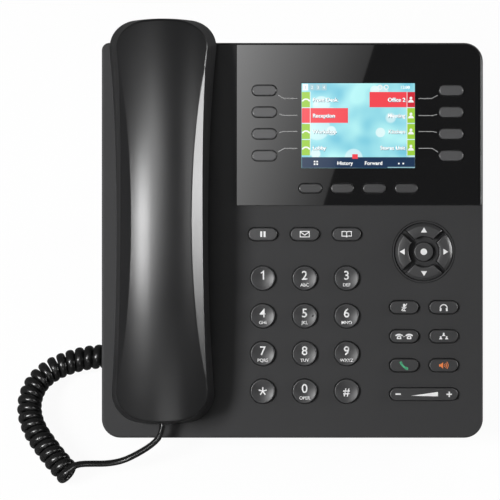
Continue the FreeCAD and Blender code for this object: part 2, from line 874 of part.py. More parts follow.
def stand_hooks():
    """L-shaped tabs that enter the slots in the back and grip behind its wall."""
    hooks = []
    under = -body_depth - stand_gap - overlap
    grip_low = inside_back + seat_gap
    grip_high = grip_low + hook_tab_depth
    for x, y in hook_tab_places():
        half = hook_tab_width / 2
        stem = box((x - half, x + half), (y, y + hook_tab_depth), (under, grip_high))
        grip = box((x - half, x + half), (y - hook_tab_grip, y + hook_tab_depth), (grip_low, grip_high))
        hooks.append(stem.fuse(grip).removeSplitter())
    return hooks


# Inside the body
def board_left():
    return right_edge - board_left_from_right


def sheet_wire(margin, corner):
    """Outline of a sheet behind the keys, drawn in from the body's edges and the board's left edge."""
    x = (board_left() + margin - board_margin, right_edge - margin)
    y = (board_margin + margin, body_length - margin)
    return rounded_wire(x, y, (least_corner, corner, corner, least_corner))


def mat_places():
    """Middle and radius of the rubber dome under each key."""
    places = [(x, y, width / 2 - dome_inset) for name, x, y, length, width in pill_keys()]
    places += [(x, y, dial_diameter / 4) for name, x, y in dial_keys()]
    middle = (nav_outer + nav_inner) / 2
    for step in range(4):
        angle = step * math.pi / 2
        x, y = function_x + middle * math.cos(angle), nav_row + middle * math.sin(angle)
        places.append((x, y, nav_dome_radius))
    places.append((function_x, nav_row, nav_dome_radius))
    radius = pill_width / 2 - volume_post_inset
    places += [(function_x + side * volume_post_from_centre, volume_row, radius) for side in (-1, 1)]
    return places


def keypad_mat():
    """Silicone sheet with a dome under every key, cut out for the screen, posts and rocker."""
    sheet = prism(sheet_wire(board_margin + mat_margin, mat_corner), board_top, mat_top)
    height = flange_bottom - mat_top
    domes = [Part.makeCone(r + dome_flare, r, height, Vector(x, y, mat_top)) for x, y, r in mat_places()]
    sheet = fuse_all(sheet, domes)
    low, high = board_top - 1, mat_top + 1
    cuts = [screen_prism(screen_frame_border + part_clearance, low, high)]
    cuts += [disc(x, y, post_radius + part_clearance, low, high) for x, y in post_places]
    cuts += [disc(x, y, boss_radius + part_clearance, low, high) for x, y in screw_places]
    half_x = pivot_lug_half + 2 * part_clearance
    half_y = pivot_length / 2 + 2 * part_clearance
    cuts.append(box((function_x - half_x, function_x + half_x), (volume_row - half_y, volume_row + half_y),
                    (low, high)))
    return sheet.cut(cuts)


def board_tongue():
    """Arm of the board that reaches out over the handset jack, clear of the loudspeaker."""
    left = handset_jack_x - cord_jack_width / 2 + 2 * part_clearance
    y = (bay_top + part_clearance, bay_top + cord_jack_length)
    return box((left, board_left() + overlap), y, (board_under, board_top))


def main_board():
    """Circuit board with its main chips, cleared round the housing bosses."""
    board = prism(sheet_wire(board_margin, corner_radius), board_under, board_top)
    parts = [board_tongue()]
    for from_right, above, wide, long, high in chips:
        x, y = right_edge - from_right, bay_top + above
        parts.append(box((x - wide / 2, x + wide / 2), (y - long / 2, y + long / 2),
                         (board_under - high, board_under + overlap)))
    board = fuse_all(board, parts)
    radius = boss_radius + part_clearance
    return board.cut([disc(x, y, radius, board_under - 1, board_top + 1) for x, y in screw_places])


def jack(x, width, height, length, port):
    """Board jack with its port facing down the face, and a latch notch on the port's back side."""
    port_width, port_height, port_depth = port
    low = board_under - height
    body = box((x - width / 2, x + width / 2), (bay_top, bay_top + length), (low, board_under))
    middle = jack_z(height) - jack_drop
    mouth_y = (bay_top - 1, bay_top + port_depth)
    high = middle + port_height / 2
    mouth = box((x - port_width / 2, x + port_width / 2), mouth_y, (middle - port_height / 2, high))
    notch = box((x - port_width / 4, x + port_width / 4), mouth_y, (middle, high + latch_notch))
    return body.cut([mouth, notch])


def modular_jacks():
    """Two network jacks, the handset jack and the headset jack, each a box with its port."""
    network = (network_jack_width, network_jack_height, network_jack_length)
    network_port = (network_port_width, network_port_height, network_port_depth)
    corded = (cord_jack_width, cord_jack_height, cord_jack_length)
    cord_port = (cord_port_width, cord_port_height, cord_port_depth)
    jacks = [jack(x, *network, network_port) for x in network_jack_x]
    jacks += [jack(x, *corded, cord_port) for x in (handset_jack_x, headset_jack_x)]
    return Part.makeCompound(jacks)


def power_jack():
    """Barrel socket with its centre pin."""
    z = jack_z(power_jack_height)
    half = power_jack_width / 2
    body = box((power_jack_x - half, power_jack_x + half), (bay_top, bay_top + power_jack_length),
               (board_under - power_jack_height, board_under))
    mouth = Vector(power_jack_x, bay_top, z)
    inward = Vector(0, 1, 0)
    bore = Part.makeCylinder(power_bore_radius, power_bore_depth, mouth, inward)
    pin = Part.makeCylinder(power_pin_radius, power_bore_depth, mouth + inward * overlap, inward)
    return fuse_all(body.cut(bore), [pin])


def loudspeaker():
    """Round driver turned from one profile: cone, rim, flange, tapering basket and magnet."""
    cone = [(0, 0.17), (0.76, 0.06), (0.86, 0), (1, 0)]
    back = [(1, 0.13), (0.88, 0.15), (0.6, 0.6), (0.55, 1), (0, 1)]
    corners = []
    for across, down in cone + back:
        corners.append(Vector(speaker_radius * across, 0, plate_under - speaker_depth * down))
    face = Part.Face(Part.makePolygon(corners + corners[:1]))
    driver = face.revolve(Vector(0, 0, 0), Vector(0, 0, 1), 360)
    driver.translate(Vector(handset_x, speaker_row, 0))
    return driver


def hook_y():
    return ear_pad_y - hook_from_pad


def hook_low():
    return cup_floor - wall - hook_travel - flange_gap


def hook_plunger():
    """Spring plunger in the ear cup, held down by the handset at rest."""
    def block(grow, low, high):
        half_x, half_y = hook_length / 2 + grow, hook_width / 2 + grow
        y = (hook_y() - half_y, hook_y() + half_y)
        return box((handset_x - half_x, handset_x + half_x), y, (low, high))

    top = cup_floor + cup_floor_gap / 4
    stem = rounded_top(block(0, hook_low(), top), top, key_edge)
    return fuse_all(stem, [block(flange_lip + key_gap, hook_low() - hook_flange, hook_low())])


def hook_post():
    """Pillar on the back cover that stops the plunger at the foot of its stroke."""
    top = hook_low() - hook_flange - flange_gap
    return disc(handset_x, hook_y(), boss_radius, inside_back - overlap, top)


# Handset
def handset_wire(z, ear, waist, mouth, draft, inset):
    """Plan outline of the handset at one height, as two end bows and two waisted sides."""
    low, high = handset_bottom + draft + inset, handset_top - draft - inset
    waist_y = handset_bottom + waist_share * handset_length
    x = handset_x
    ear, waist, mouth = ear - inset, waist - inset, mouth - inset
    top_left, top_right = Vector(x - ear, high - ear_end_bow, z), Vector(x + ear, high - ear_end_bow, z)
    low_left, low_right = Vector(x - mouth, low + mouth_end_bow, z), Vector(x + mouth, low + mouth_end_bow, z)
    arcs = [Part.Arc(top_left, Vector(x, high, z), top_right),
            Part.Arc(top_right, Vector(x + waist, waist_y, z), low_right),
            Part.Arc(low_right, Vector(x, low, z), low_left),
            Part.Arc(low_left, Vector(x - waist, waist_y, z), top_left)]
    return Part.Wire([a.toShape() for a in arcs])


def upright_edges(solid, low, high):
    """Edges that climb from one height to the other."""
    def climbs(reach):
        return abs(reach.ZMin - low) < 1e-3 and abs(reach.ZMax - high) < 1e-3

    return [e for e in solid.Edges if climbs(e.BoundBox)]


def arch(mid, sag, turn=0):
    """Solid under an arch along the handset, from a big cylinder across it, turned about the handset."""
    half = handset_length / 2
    radius = (half ** 2 + sag ** 2) / (2 * sag)
    wide = 2 * ear_half_width
    roof = Part.makeCylinder(radius, 2 * wide, Vector(-wide, handset_mid, mid - radius), Vector(1, 0, 0))
    arched = roof.common(box((-wide, wide), (0, 2 * handset_mid), (mid - wide, mid + 1)))
    turned = Placement(Vector(handset_x, 0, 0), Rotation(Vector(0, 1, 0), turn))
    arched.Placement = turned.multiply(arched.Placement)
    return arched


def crown_solid(inset):
    """Solid under the crowned, arched top: one cross arc swung about a far axis."""
    half = handset_length / 2
    radius = (half ** 2 + crown_sag ** 2) / (2 * crown_sag)
    top = crown_top - inset
    reach = ear_half_width + pad_drop
    side = top - crown_cross_radius + math.sqrt(crown_cross_radius ** 2 - reach ** 2)
    y = handset_mid
    low = crown_top - 2 * ear_half_width
    left, right = Vector(handset_x - reach, y, side), Vector(handset_x + reach, y, side)
    roof = Part.Arc(left, Vector(handset_x, y, top), right).toShape()
    under = [right, Vector(handset_x + reach, y, low), Vector(handset_x - reach, y, low), left]
    face = Part.Face(Part.Wire([roof] + [Part.LineSegment(a, b).toShape() for a, b in zip(under, under[1:])]))
    swing = math.degrees(math.asin(1.2 * half / (radius - 2 * crown_sag)))
    axis = Vector(0, y, crown_top - radius)
    face.rotate(axis, Vector(1, 0, 0), -swing)
    return face.revolve(axis, Vector(1, 0, 0), 2 * swing)


def corner_edges(block, low, high, end):
    """Upright corner edges of the block at its ear end (1) or mouth end (-1)."""
    return [e for e in upright_edges(block, low, high) if end * (e.CenterOfMass.y - handset_mid) > 0]


def handset_block(inset):
    """Whole handset form without its pads, drawn in by an inset for the hollow inside."""
    low, high = -handset_skirt, crown_top
    lower = handset_wire(low, ear_half_width, waist_half_width, mouth_half_width, 0, inset)
    upper = handset_wire(high, ear_half_top, waist_half_top, mouth_half_top, end_draft, inset)
    block = Part.makeLoft([lower, upper], True, True)
    block = block.makeFillet(ear_corner - inset, corner_edges(block, low, high, 1))
    block = block.makeFillet(mouth_corner - inset, corner_edges(block, low, high, -1))
    for turn in (-facet_angle, facet_angle):
        block = block.common(arch(facet_reach - inset, facet_sag, turn))
    return block.common(crown_solid(inset)).cut(arch(under_mid + inset, under_sag))


def crown_rounded(block):
    """Softens the edge where the crowned top meets the flanks and the ends."""
    crown = max((f for f in block.Faces if isinstance(f.Surface, Part.Toroid)), key=lambda f: f.Area)
    return block.makeFillet(crown_edge, crown.OuterWire.Edges)


def pad_body(y, radius):
    """Round pad under one end of the handset, with a softened lower rim."""
    body = disc(handset_x, y, radius, -pad_drop, pad_top)
    return body.makeFillet(pad_edge, edges_at(body, -pad_drop))


def sound_holes():
    """One hole in the middle of each pad and a ring of holes round it."""
    holes = []
    for y, ring in ((ear_pad_y, ear_hole_ring), (mouth_pad_y, mouth_hole_ring)):
        places = [(handset_x, y)]
        for step in range(sound_hole_count):
            angle = 2 * math.pi * step / sound_hole_count
            places.append((handset_x + ring * math.cos(angle), y + ring * math.sin(angle)))
        holes += [disc(*place, sound_hole_radius, -pad_drop - 1, pad_floor + 1) for place in places]
    return holes


def socket_block(grow, low, high):
    """Box round the handset's cord socket, from the mouth end inwards."""
    half = cord_port_width / 2 + grow
    y = (handset_bottom - 1, handset_plug_y() + plug_length + plug_gap + grow)
    return box((handset_x - half, handset_x + half), y, (low, high))


def handset_plug_y():
    """Outer end of the plug in the handset, just inside the mouth end."""
    return handset_bottom + handset_plug_sink


def handset_socket_cut():
    half_height = cord_port_height / 2
    low, high = handset_port_z - half_height, handset_port_z + half_height
    x = (handset_x - cord_port_width / 4, handset_x + cord_port_width / 4)
    y = (handset_bottom - 1, handset_plug_y() + plug_length + plug_gap)
    return socket_block(0, low, high).fuse(box(x, y, (handset_port_z, high + latch_notch)))


def handset_shells():
    """Outer and inner shells, parted along an arch, with the socket block shared between them."""
    block = crown_rounded(handset_block(0))
    half_height = cord_port_height / 2
    socket = socket_block(jack_wall, handset_port_z - half_height - jack_wall,
                          handset_port_z + half_height + latch_notch + jack_wall)
    hollow = handset_block(handset_wall).cut(socket)
    below = arch(split_mid - seam_gap / 2, split_sag)
    above = block.cut(arch(split_mid + seam_gap / 2, split_sag))
    port = handset_socket_cut()
    outer = above.cut([hollow, port])
    pads = [pad_body(y, radius) for y, radius in cup_places()]
    inner = fuse_all(block.common(below), pads)
    wells = [disc(handset_x, y, radius - handset_wall, pad_floor, split_mid).cut(socket)
             for y, radius in cup_places()]
    inner = inner.cut([hollow, port] + wells + sound_holes())
    return outer, inner


def handset_capsules():
    """Receiver in the ear pad and microphone in the mouth pad, each resting on the pad's floor."""
    receiver = disc(handset_x, ear_pad_y, receiver_radius, pad_floor, pad_floor + receiver_height)
    receiver = rounded_top(receiver, pad_floor + receiver_height, 1.0)
    microphone = disc(handset_x, mouth_pad_y, microphone_radius, pad_floor, pad_floor + microphone_height)
    return Part.makeCompound([receiver, rounded_top(microphone, pad_floor + microphone_height, 0.5)])


# Cord, drawn in the desk frame before the phone is centred
def cord_plug(x, rear, z):
    """Modular plug pushed in along Y, with its latch on the upper side and the cord at its rear."""
    half_x, half_z = cord_port_width / 2 - plug_gap, cord_port_height / 2 - plug_gap
    body = box((x - half_x, x + half_x), (rear, rear + plug_length), (z - half_z, z + half_z))
    latch_half = cord_port_width / 4 - plug_gap
    latch = box((x - latch_half, x + latch_half), (rear + plug_length / 4, rear + plug_length),
                (z + half_z - 0.5, z + half_z + latch_notch))
    return fuse_all(body, [latch])


def base_port_z():
    return jack_z(cord_jack_height) - jack_drop


def base_plug_y():
    """Outer end of the plug in the base jack."""
    return bay_top + cord_port_depth - plug_gap - plug_length


def face_to_desk(x, y, z):
    return Vector(x, *desk_point(y, z))


def coil_axis():
    """Stations of the coil's middle line, one every quarter turn: place, heading and curvature."""
    total = sum(length for length, turn in coil_arcs)
    steps = coil_turns * coil_steps
    stations = []
    for i in range(steps + 1):
        left = total * i / steps
        place = Vector(handset_jack_x + coil_start[0], coil_start[1], coil_diameter / 2 + coil_floor_gap)
        heading = math.radians(coil_heading)
        for length, turn in coil_arcs:
            run = min(left, length)
            bend = math.radians(turn) / length
            turned = heading + bend * run
            place = place + Vector((math.sin(turned) - math.sin(heading)) / bend,
                                   (math.cos(heading) - math.cos(turned)) / bend, 0)
            heading = turned
            left -= run
            if left <= 1e-9:
                break
        stations.append((place, heading, bend))
    return stations, total


def coil_points():
    """Points and tangents of the helix round the coil's middle line, from its hidden end to its seen end."""
    stations, total = coil_axis()
    radius = (coil_diameter - cord_diameter) / 2
    spin = -2 * math.pi * coil_turns / total
    points = []
    for i, (place, heading, bend) in enumerate(stations):
        turn = math.pi / 2 - 2 * math.pi * (i % coil_steps) / coil_steps
        ahead = Vector(math.cos(heading), math.sin(heading), 0)
        side = Vector(-math.sin(heading), math.cos(heading), 0)
        up = Vector(0, 0, 1)
        point = place + side * (radius * math.cos(turn)) + up * (radius * math.sin(turn))
        tangent = ahead * (1 - bend * radius * math.cos(turn))
        tangent = tangent - side * (radius * spin * math.sin(turn)) + up * (radius * spin * math.cos(turn))
        points.append((point, tangent.normalize()))
    return points


def arc_from(start, tangent, end):
    """Arc that leaves a point along a tangent and runs to an end point."""
    chord = end - start
    along = chord * (1 / chord.Length)
    side = tangent - along * tangent.dot(along)
    half_turn = math.acos(max(-1.0, min(1.0, tangent.dot(along))))
    middle = (start + end) * 0.5 + side.normalize() * (chord.Length / 2 * math.tan(half_turn / 2))
    return Part.Arc(start, middle, end).toShape(), chord.Length / (2 * math.sin(half_turn))


def biarc(start, t0, end, t1):
    """Two arcs that meet smoothly, from one point and tangent to the next."""
    v = end - start
    t = t0 + t1
    a = 2 * (1 - t0.dot(t1))
    b = v.dot(t)
    reach = (math.sqrt(b * b + a * v.dot(v)) - b) / a
    joint = (start + t0 * reach + end - t1 * reach) * 0.5
    first, r0 = arc_from(start, t0, joint)
    last, r1 = arc_from(end, t1 * -1, joint)
    return [first, last], min(r0, r1)


def tube(edges, start, direction, diameter):
    """Round tube swept along a smooth chain of edges."""
    path = Part.Wire(edges)
    section = Part.Wire(Part.makeCircle(diameter / 2, start, direction))
    solid = path.makePipeShell([section], True, False)
    share = solid.Volume / (math.pi * diameter ** 2 / 4 * path.Length)
    print(f"  tube length {path.Length:.1f} mm, volume over section times length {share:.4f}")
    return solid


def cord_coil():
    """Curly middle of the cord: a helix of quarter-turn biarcs with a straight end at each side."""
    points = coil_points()
    (first, first_way), (last, last_way) = points[0], points[-1]
    start, end = first - first_way * cord_diameter, last + last_way * cord_diameter
    edges = [Part.LineSegment(start, first).toShape()]
    tightest = None
    for (p, t), (q, u) in zip(points, points[1:]):
        arcs, radius = biarc(p, t, q, u)
        edges += arcs
        tightest = radius if tightest is None else min(tightest, radius)
    edges.append(Part.LineSegment(last, end).toShape())
    print(f"coil: {coil_turns} turns, tightest arc {tightest:.2f} mm, least gap {sampled_gap(edges):.2f} mm")
    return tube(edges, start, first_way, cord_diameter), (start, first_way), (end, last_way)


def sampled_gap(edges):
    """Least gap of the coil to itself, from points on each arc compared with the next turns."""
    samples = []
    for edge in edges:
        step = (edge.LastParameter - edge.FirstParameter) / 4
        samples += [edge.valueAt(edge.FirstParameter + step * k) for k in range(4)]
    per_turn = 8 * coil_steps
    least = None
    for i, p in enumerate(samples):
        for q in samples[i + per_turn // 2:i + 2 * per_turn]:
            distance = (p - q).Length
            least = distance if least is None else min(least, distance)
    return least - cord_diameter


def cord_route(name, points):
    """Straight runs joined by tangent arcs, each as large as its two runs allow."""
    edges = []
    radii = []
    here = points[0]
    for before, corner, after in zip(points, points[1:], points[2:]):
        back, ahead = (before - corner), (after - corner)
        half_turn = (math.pi - back.getAngle(ahead)) / 2
        trim = bend_share * min(back.Length, ahead.Length)
        radii.append(trim / math.tan(half_turn))
        first, last = corner + back.normalize() * trim, corner + ahead.normalize() * trim
        depth = radii[-1] * (1 / math.cos(half_turn) - 1)
        middle = corner + (first + last - corner * 2).normalize() * depth
        edges.append(Part.LineSegment(here, first).toShape())
        edges.append(Part.Arc(first, middle, last).toShape())
        here = last
    edges.append(Part.LineSegment(here, points[-1]).toShape())
    print(f"{name}: radii", " ".join(f"{r:.1f}" for r in radii))
    return tube(edges, points[0], points[1] - points[0], cord_diameter)


def cord():
    """The cord in one line: base plug, tail, coil, tail and handset plug."""
    coil, (start, start_way), (end, end_way) = cord_coil()
    base_rear = face_to_desk(handset_jack_x, base_plug_y(), base_port_z())
    handset_rear = face_to_desk(handset_x, handset_plug_y(), handset_port_z)
    inward = face_to_desk(0, 1, 0) - face_to_desk(0, 0, 0)
    base_points = [base_rear, base_rear - inward * plug_lead]
    for x, y, share in base_tail_points:
        base_points.append(Vector(base_rear.x + x, base_rear.y + y, base_rear.z * share))
    base_points += [start - start_way * coil_lead, start]
    handset_points = [end, end + end_way * coil_lead]
    handset_points += [Vector(handset_x + x, y, z) for x, y, z in handset_tail_points]
    handset_points += [handset_rear - inward * plug_lead, handset_rear]
    return {
        "cord_coil": coil,
        "cord_tail_base": cord_route("base tail", base_points),
        "cord_tail_handset": cord_route("handset tail", handset_points),
    }


# Assembly
def phone():
    """Every piece of the phone in the face frame, by name."""
    pieces = {
        "front_cover": front_cover(),
        "back_cover": back_cover(),
        "display_panel": display_panel(),
        "lcd_module": lcd_module(),
        "keypad_mat": keypad_mat(),
        "main_board": main_board(),
        "modular_jacks": modular_jacks(),
        "power_jack": power_jack(),
        "loudspeaker": loudspeaker(),
        "hook_plunger": hook_plunger(),
        "housing_screws": housing_screws(),
        "rubber_feet": rubber_feet(),
        "stand": stand(),
        "volume_key": volume_key(),
        "handset_capsules": handset_capsules(),
        "handset_plug": cord_plug(handset_x, handset_plug_y(), handset_port_z),
        "base_plug": cord_plug(handset_jack_x, base_plug_y(), base_port_z()),
    }
    pieces["handset_outer_shell"], pieces["handset_inner_shell"] = handset_shells()
    pieces.update({name: pill_key(*place) for name, *place in pill_keys()})
    pieces.update({name: dial_key(x, y) for name, x, y in dial_keys()})
    pieces["dial_key_5"] = middle_dial_key(dial_x, dial_bottom_row + 2 * dial_pitch_y)
    pieces.update(nav_keys())
    return pieces


def main():
    os.makedirs("parts", exist_ok=True)
    pieces = {name: to_desk(shape) for name, shape in phone().items()}
    reach = Part.makeCompound([shape for name, shape in pieces.items() if not name.endswith("_plug")])
    bounds = reach.optimalBoundingBox(False, False)
    pieces.update(cord())
    middle = Vector(-(bounds.XMin + bounds.XMax) / 2, -(bounds.YMin + bounds.YMax) / 2, 0)
    for name, shape in sorted(pieces.items()):
        shape.translate(middle)
        if not shape.isValid():
            print(f"not valid: {name}")
        shape.exportStep(f"parts/{name}.step")
    print(f"{len(pieces)} pieces, box {bounds.XLength:.1f} x {bounds.YLength:.1f} x {bounds.ZMax:.1f} mm")
    print(f"centred by moving {middle.y:.3f} mm along Y")
    return middle


centring = main()
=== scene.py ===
# %% [markdown]
# # A desk phone with a curly cord
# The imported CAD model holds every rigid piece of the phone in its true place. This lesson dresses it:
# moulded plastics, printed signs, a lit screen and the curly cord, in a plain studio.

# %% Load the frame
import json
import math

import bmesh
import bpy
from mathutils import Matrix, Vector
from mathutils.bvhtree import BVHTree

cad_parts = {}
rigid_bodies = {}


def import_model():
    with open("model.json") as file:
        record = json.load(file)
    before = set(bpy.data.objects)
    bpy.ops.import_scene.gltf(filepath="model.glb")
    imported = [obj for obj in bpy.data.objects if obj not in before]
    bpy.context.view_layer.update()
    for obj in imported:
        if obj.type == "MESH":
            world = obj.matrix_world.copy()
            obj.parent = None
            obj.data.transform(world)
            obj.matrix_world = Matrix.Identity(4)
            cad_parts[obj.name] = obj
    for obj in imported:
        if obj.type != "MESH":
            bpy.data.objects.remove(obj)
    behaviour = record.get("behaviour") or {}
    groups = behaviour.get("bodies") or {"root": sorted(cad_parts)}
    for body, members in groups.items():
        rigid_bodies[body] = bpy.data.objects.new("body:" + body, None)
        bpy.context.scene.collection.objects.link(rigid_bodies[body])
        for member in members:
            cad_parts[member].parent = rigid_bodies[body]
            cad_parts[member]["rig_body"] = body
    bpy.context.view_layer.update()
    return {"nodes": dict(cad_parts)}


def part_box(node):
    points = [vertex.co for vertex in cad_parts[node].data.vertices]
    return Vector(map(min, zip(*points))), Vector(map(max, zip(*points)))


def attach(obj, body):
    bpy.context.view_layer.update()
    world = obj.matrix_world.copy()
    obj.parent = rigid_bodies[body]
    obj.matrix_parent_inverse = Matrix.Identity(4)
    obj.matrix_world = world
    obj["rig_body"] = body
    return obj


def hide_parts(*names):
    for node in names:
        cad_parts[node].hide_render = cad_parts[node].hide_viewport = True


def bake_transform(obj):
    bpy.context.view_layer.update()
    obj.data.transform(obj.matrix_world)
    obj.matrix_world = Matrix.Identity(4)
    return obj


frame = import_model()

nodes = frame["nodes"]

# %% [markdown]
# ## The face frame
# A phone designer draws the keys on a flat face and tilts the whole body afterwards. Working in the same
# tilted frame keeps every sign at its drawing place, in millimetres across the face, up it and out of it.

# %% Points on the face and on the desk
MM = 0.001
TILT = math.radians(35.0)
FACE_LIFT = 13.949
STAND_HEEL = 150.0
RIGHT = Vector((1, 0, 0))
UP = Vector((0, math.cos(TILT), math.sin(TILT)))
OUT = Vector((0, -math.sin(TILT), math.cos(TILT)))
desk_origin = Vector((0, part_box("stand")[1].y - STAND_HEEL * MM, 0))
face_origin = desk_origin + Vector((0, 0, FACE_LIFT * MM))


def on_face(x, y, z=0.0):
    """Point of the model, in metres, from millimetres across, up and out of the face."""
    return face_origin + (RIGHT * x + UP * y + OUT * z) * MM


def on_desk(x, y, z):
    """Point of the model, in metres, from millimetres on the desk, counted from under the face's origin."""
    return desk_origin + Vector((x, y, z)) * MM


print("face origin", [round(c, 4) for c in face_origin])

# %% [markdown]
# ## The camera
# The photograph looks straight at the tilted face from a little under a metre, so the face keeps its right
# angles. A camera could be aimed with a constraint, but giving it the face's own axes is exact.

# %% Camera
VIEW_MIDDLE = (-21.45, 95.1)
CAMERA_AWAY = 900.0
VIEW_WIDTH = 252.95
SENSOR = 36.0
scene = bpy.context.scene
scene.view_settings.view_transform = "Standard"
lens = bpy.data.cameras.new("photo_camera")
lens.sensor_width = SENSOR
lens.lens = SENSOR * CAMERA_AWAY / VIEW_WIDTH
camera = bpy.data.objects.new("photo_camera", lens)
face_turn = Matrix((RIGHT, UP, OUT)).transposed().to_4x4()
camera.matrix_world = Matrix.Translation(on_face(*VIEW_MIDDLE, CAMERA_AWAY)) @ face_turn
scene.collection.objects.link(camera)
scene.camera = camera
print("camera lens", round(lens.lens, 1), "mm")

# %% [markdown]
# ## The curly cord
# A handset cord is one soft flat lead: a plain tail from the base, a middle wound on its flat side that
# springs back, and a plain tail to the handset. Its centre line is drawn as one smooth NURBS curve. The wound
# middle is a helix round a second curve, and its turns are more points of the same line, so the tails flow
# into the turns.

# %% Smooth lines through control points
def smooth_line(points, steps):
    """Points read from a NURBS curve with these control points."""
    curve = bpy.data.curves.new("line", "CURVE")
    curve.dimensions = "3D"
    spline = curve.splines.new("NURBS")
    spline.points.add(len(points) - 1)
    for control, place in zip(spline.points, points):
        control.co = (*place, 1)
    spline.order_u = 3
    spline.use_endpoint_u = True
    spline.resolution_u = steps
    holder = bpy.data.objects.new("line", curve)
    mesh = bpy.data.meshes.new_from_object(holder)
    line = [v.co.copy() for v in mesh.vertices]
    bpy.data.objects.remove(holder)
    bpy.data.curves.remove(curve)
    bpy.data.meshes.remove(mesh)
    return line


def line_length(line):
    """Length along a row of points."""
    return sum((b - a).length for a, b in zip(line, line[1:]))


print("lines are read from NURBS curves")

# %% The coil's middle line and its turns
CORD_THICK, CORD_WIDE = 3.0, 4.4
# Diameter of a round cord with the same section
COIL_WIDE = 12.6
COIL_TURNS = 32
COIL_LEVEL = 6.7
TURN_STEPS = 14
# Steps from one control point to the next, along the coil's middle line and along the cord
MIDDLE_STEPS, LINE_STEPS = 40, 3
COIL_LINE = ((-43.3, 54.0), (-56.2, 53.6), (-82.0, 52.4), (-108.5, 53.2), (-132.8, 40.9), (-137.1, 16.4),
             (-119.8, -9.1), (-112.5, -16.9))


def wound(line, turns, radius):
    """Helix points round a level line, starting and ending on top of it."""
    whole = line_length(line)
    count = turns * TURN_STEPS
    points, run, leg = [], 0.0, 0
    for step in range(count + 1):
        want = whole * step / count
        while leg < len(line) - 2 and run + (line[leg + 1] - line[leg]).length < want:
            run += (line[leg + 1] - line[leg]).length
            leg += 1
        ahead = line[leg + 1] - line[leg]
        place = line[leg] + ahead.normalized() * (want - run)
        side = Vector((-ahead.y, ahead.x, 0)).normalized()
        angle = math.pi / 2 - 2 * math.pi * step / TURN_STEPS
        points.append(place + (side * math.cos(angle) + Vector((0, 0, math.sin(angle)))) * radius)
    return points


coil_line = smooth_line([on_desk(x, y, COIL_LEVEL) for x, y in COIL_LINE], MIDDLE_STEPS)
# A NURBS line cuts inside its points, so the points stand a little further out
outward = 1 / math.cos(math.pi / TURN_STEPS) ** 1.5
coil = wound(coil_line, COIL_TURNS, (COIL_WIDE - CORD_THICK) / 2 * MM * outward)
print("coil", COIL_TURNS, "turns along", round(line_length(coil_line), 4), "m")

# %% One line from plug to plug
PLUG_LEAD = 8.2
COIL_LEAD = 5.0
BASE_PLUG_END = (-44.0, 89.0, -14.0)
HANDSET_PLUG_END = (-65.3, 11.5, 7.1)
BASE_TAIL = ((-43.4, 70.8, 40.5), (-42.4, 72.8, 28.8), (-41.7, 72.0, 19.6), (-41.7, 68.1, 14.1))
HANDSET_TAIL = ((-100.3, -12.6, 10.2), (-93.5, -11.9, 8.8), (-85.5, -10.3, 8.8), (-77.0, -8.0, 13.2),
                (-69.8, -5.2, 17.5))
base_end = on_face(*BASE_PLUG_END)
handset_end = on_face(*HANDSET_PLUG_END)
into_coil = coil[0] + (coil[0] - coil[1]).normalized() * COIL_LEAD * MM
out_of_coil = coil[-1] + (coil[-1] - coil[-2]).normalized() * COIL_LEAD * MM
route = [base_end, base_end - UP * PLUG_LEAD * MM, *[on_desk(*p) for p in BASE_TAIL], into_coil]
route += coil
route += [out_of_coil, *[on_desk(*p) for p in HANDSET_TAIL], handset_end - UP * PLUG_LEAD * MM, handset_end]
cord_line = smooth_line(route, LINE_STEPS)
cord_length = line_length(cord_line)
print("cord", round(cord_length, 4), "m, line points", len(cord_line))


# %% Section of the lead
def link_mesh(name, mesh):
    """Object of a mesh, in the scene."""
    made = bpy.data.objects.new(name, mesh)
    scene.collection.objects.link(made)
    return made


ONE_TURN = TURN_STEPS * LINE_STEPS
HALF_TURN = ONE_TURN // 2
# Share of the way to the next turn that the lead may fill
TURN_GAP = 0.95
coil_first = route.index(coil[0]) * LINE_STEPS
coil_last = coil_first + (len(coil) - 1) * LINE_STEPS


def wide_way(line, i):
    """Way of the cord's wide side: along the coil where it is wound, out of the face in the tails."""
    middle = min(max(i, coil_first + HALF_TURN), coil_last - HALF_TURN)
    along = (line[middle + HALF_TURN] - line[middle - HALF_TURN]).normalized()
    gone = min(1.0, abs(i - middle) / ONE_TURN)
    return along * (1 - gone) + OUT * gone


def flat_width(line, i):
    """Width of the flat side, less where turns crowd inside a bend."""
    beside = [j for j in (i - ONE_TURN, i + ONE_TURN) if coil_first <= min(i, j) and max(i, j) <= coil_last]
    return min([CORD_WIDE * MM] + [(line[j] - line[i]).length * TURN_GAP for j in beside])


print("one turn has", ONE_TURN, "line points")

# %% A tube along the line
TUBE_SIDES = 16
# Way of the tail into the handset, and a distance back from its end, in metres
LEAD_WAY = Vector((0.641, -0.641, 0.423)).normalized()
BLEND_RUN = 0.0195


def tube_mesh(name, line):
    """Closed flat tube with an oval section."""
    verts, faces, sides = [], [], TUBE_SIDES
    for i, place in enumerate(line):
        way = (line[min(i + 1, len(line) - 1)] - line[max(i - 1, 0)]).normalized()
        across = wide_way(line, i)
        across = (across - way * across.dot(way)).normalized() * flat_width(line, i) / 2
        over = way.cross(across).normalized() * CORD_THICK * MM / 2
        for k in range(sides):
            angle = 2 * math.pi * k / sides
            verts.append(place + across * math.cos(angle) + over * math.sin(angle))
    for i in range(len(line) - 1):
        for k in range(sides):
            a, b = i * sides + k, i * sides + (k + 1) % sides
            faces.append((a, b, b + sides, a + sides))
    faces.append(tuple(reversed(range(sides))))
    faces.append(tuple(range(len(verts) - sides, len(verts))))
    mesh = bpy.data.meshes.new(name)
    mesh.from_pydata(verts, [], faces)
    mesh.shade_smooth()
    return mesh


curly_cord = link_mesh("curly_cord", tube_mesh("curly_cord", cord_line))
handset_end - LEAD_WAY * BLEND_RUN
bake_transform(curly_cord)
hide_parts("cord_coil", "cord_tail_base", "cord_tail_handset")
print("cord tube faces", len(curly_cord.data.polygons))

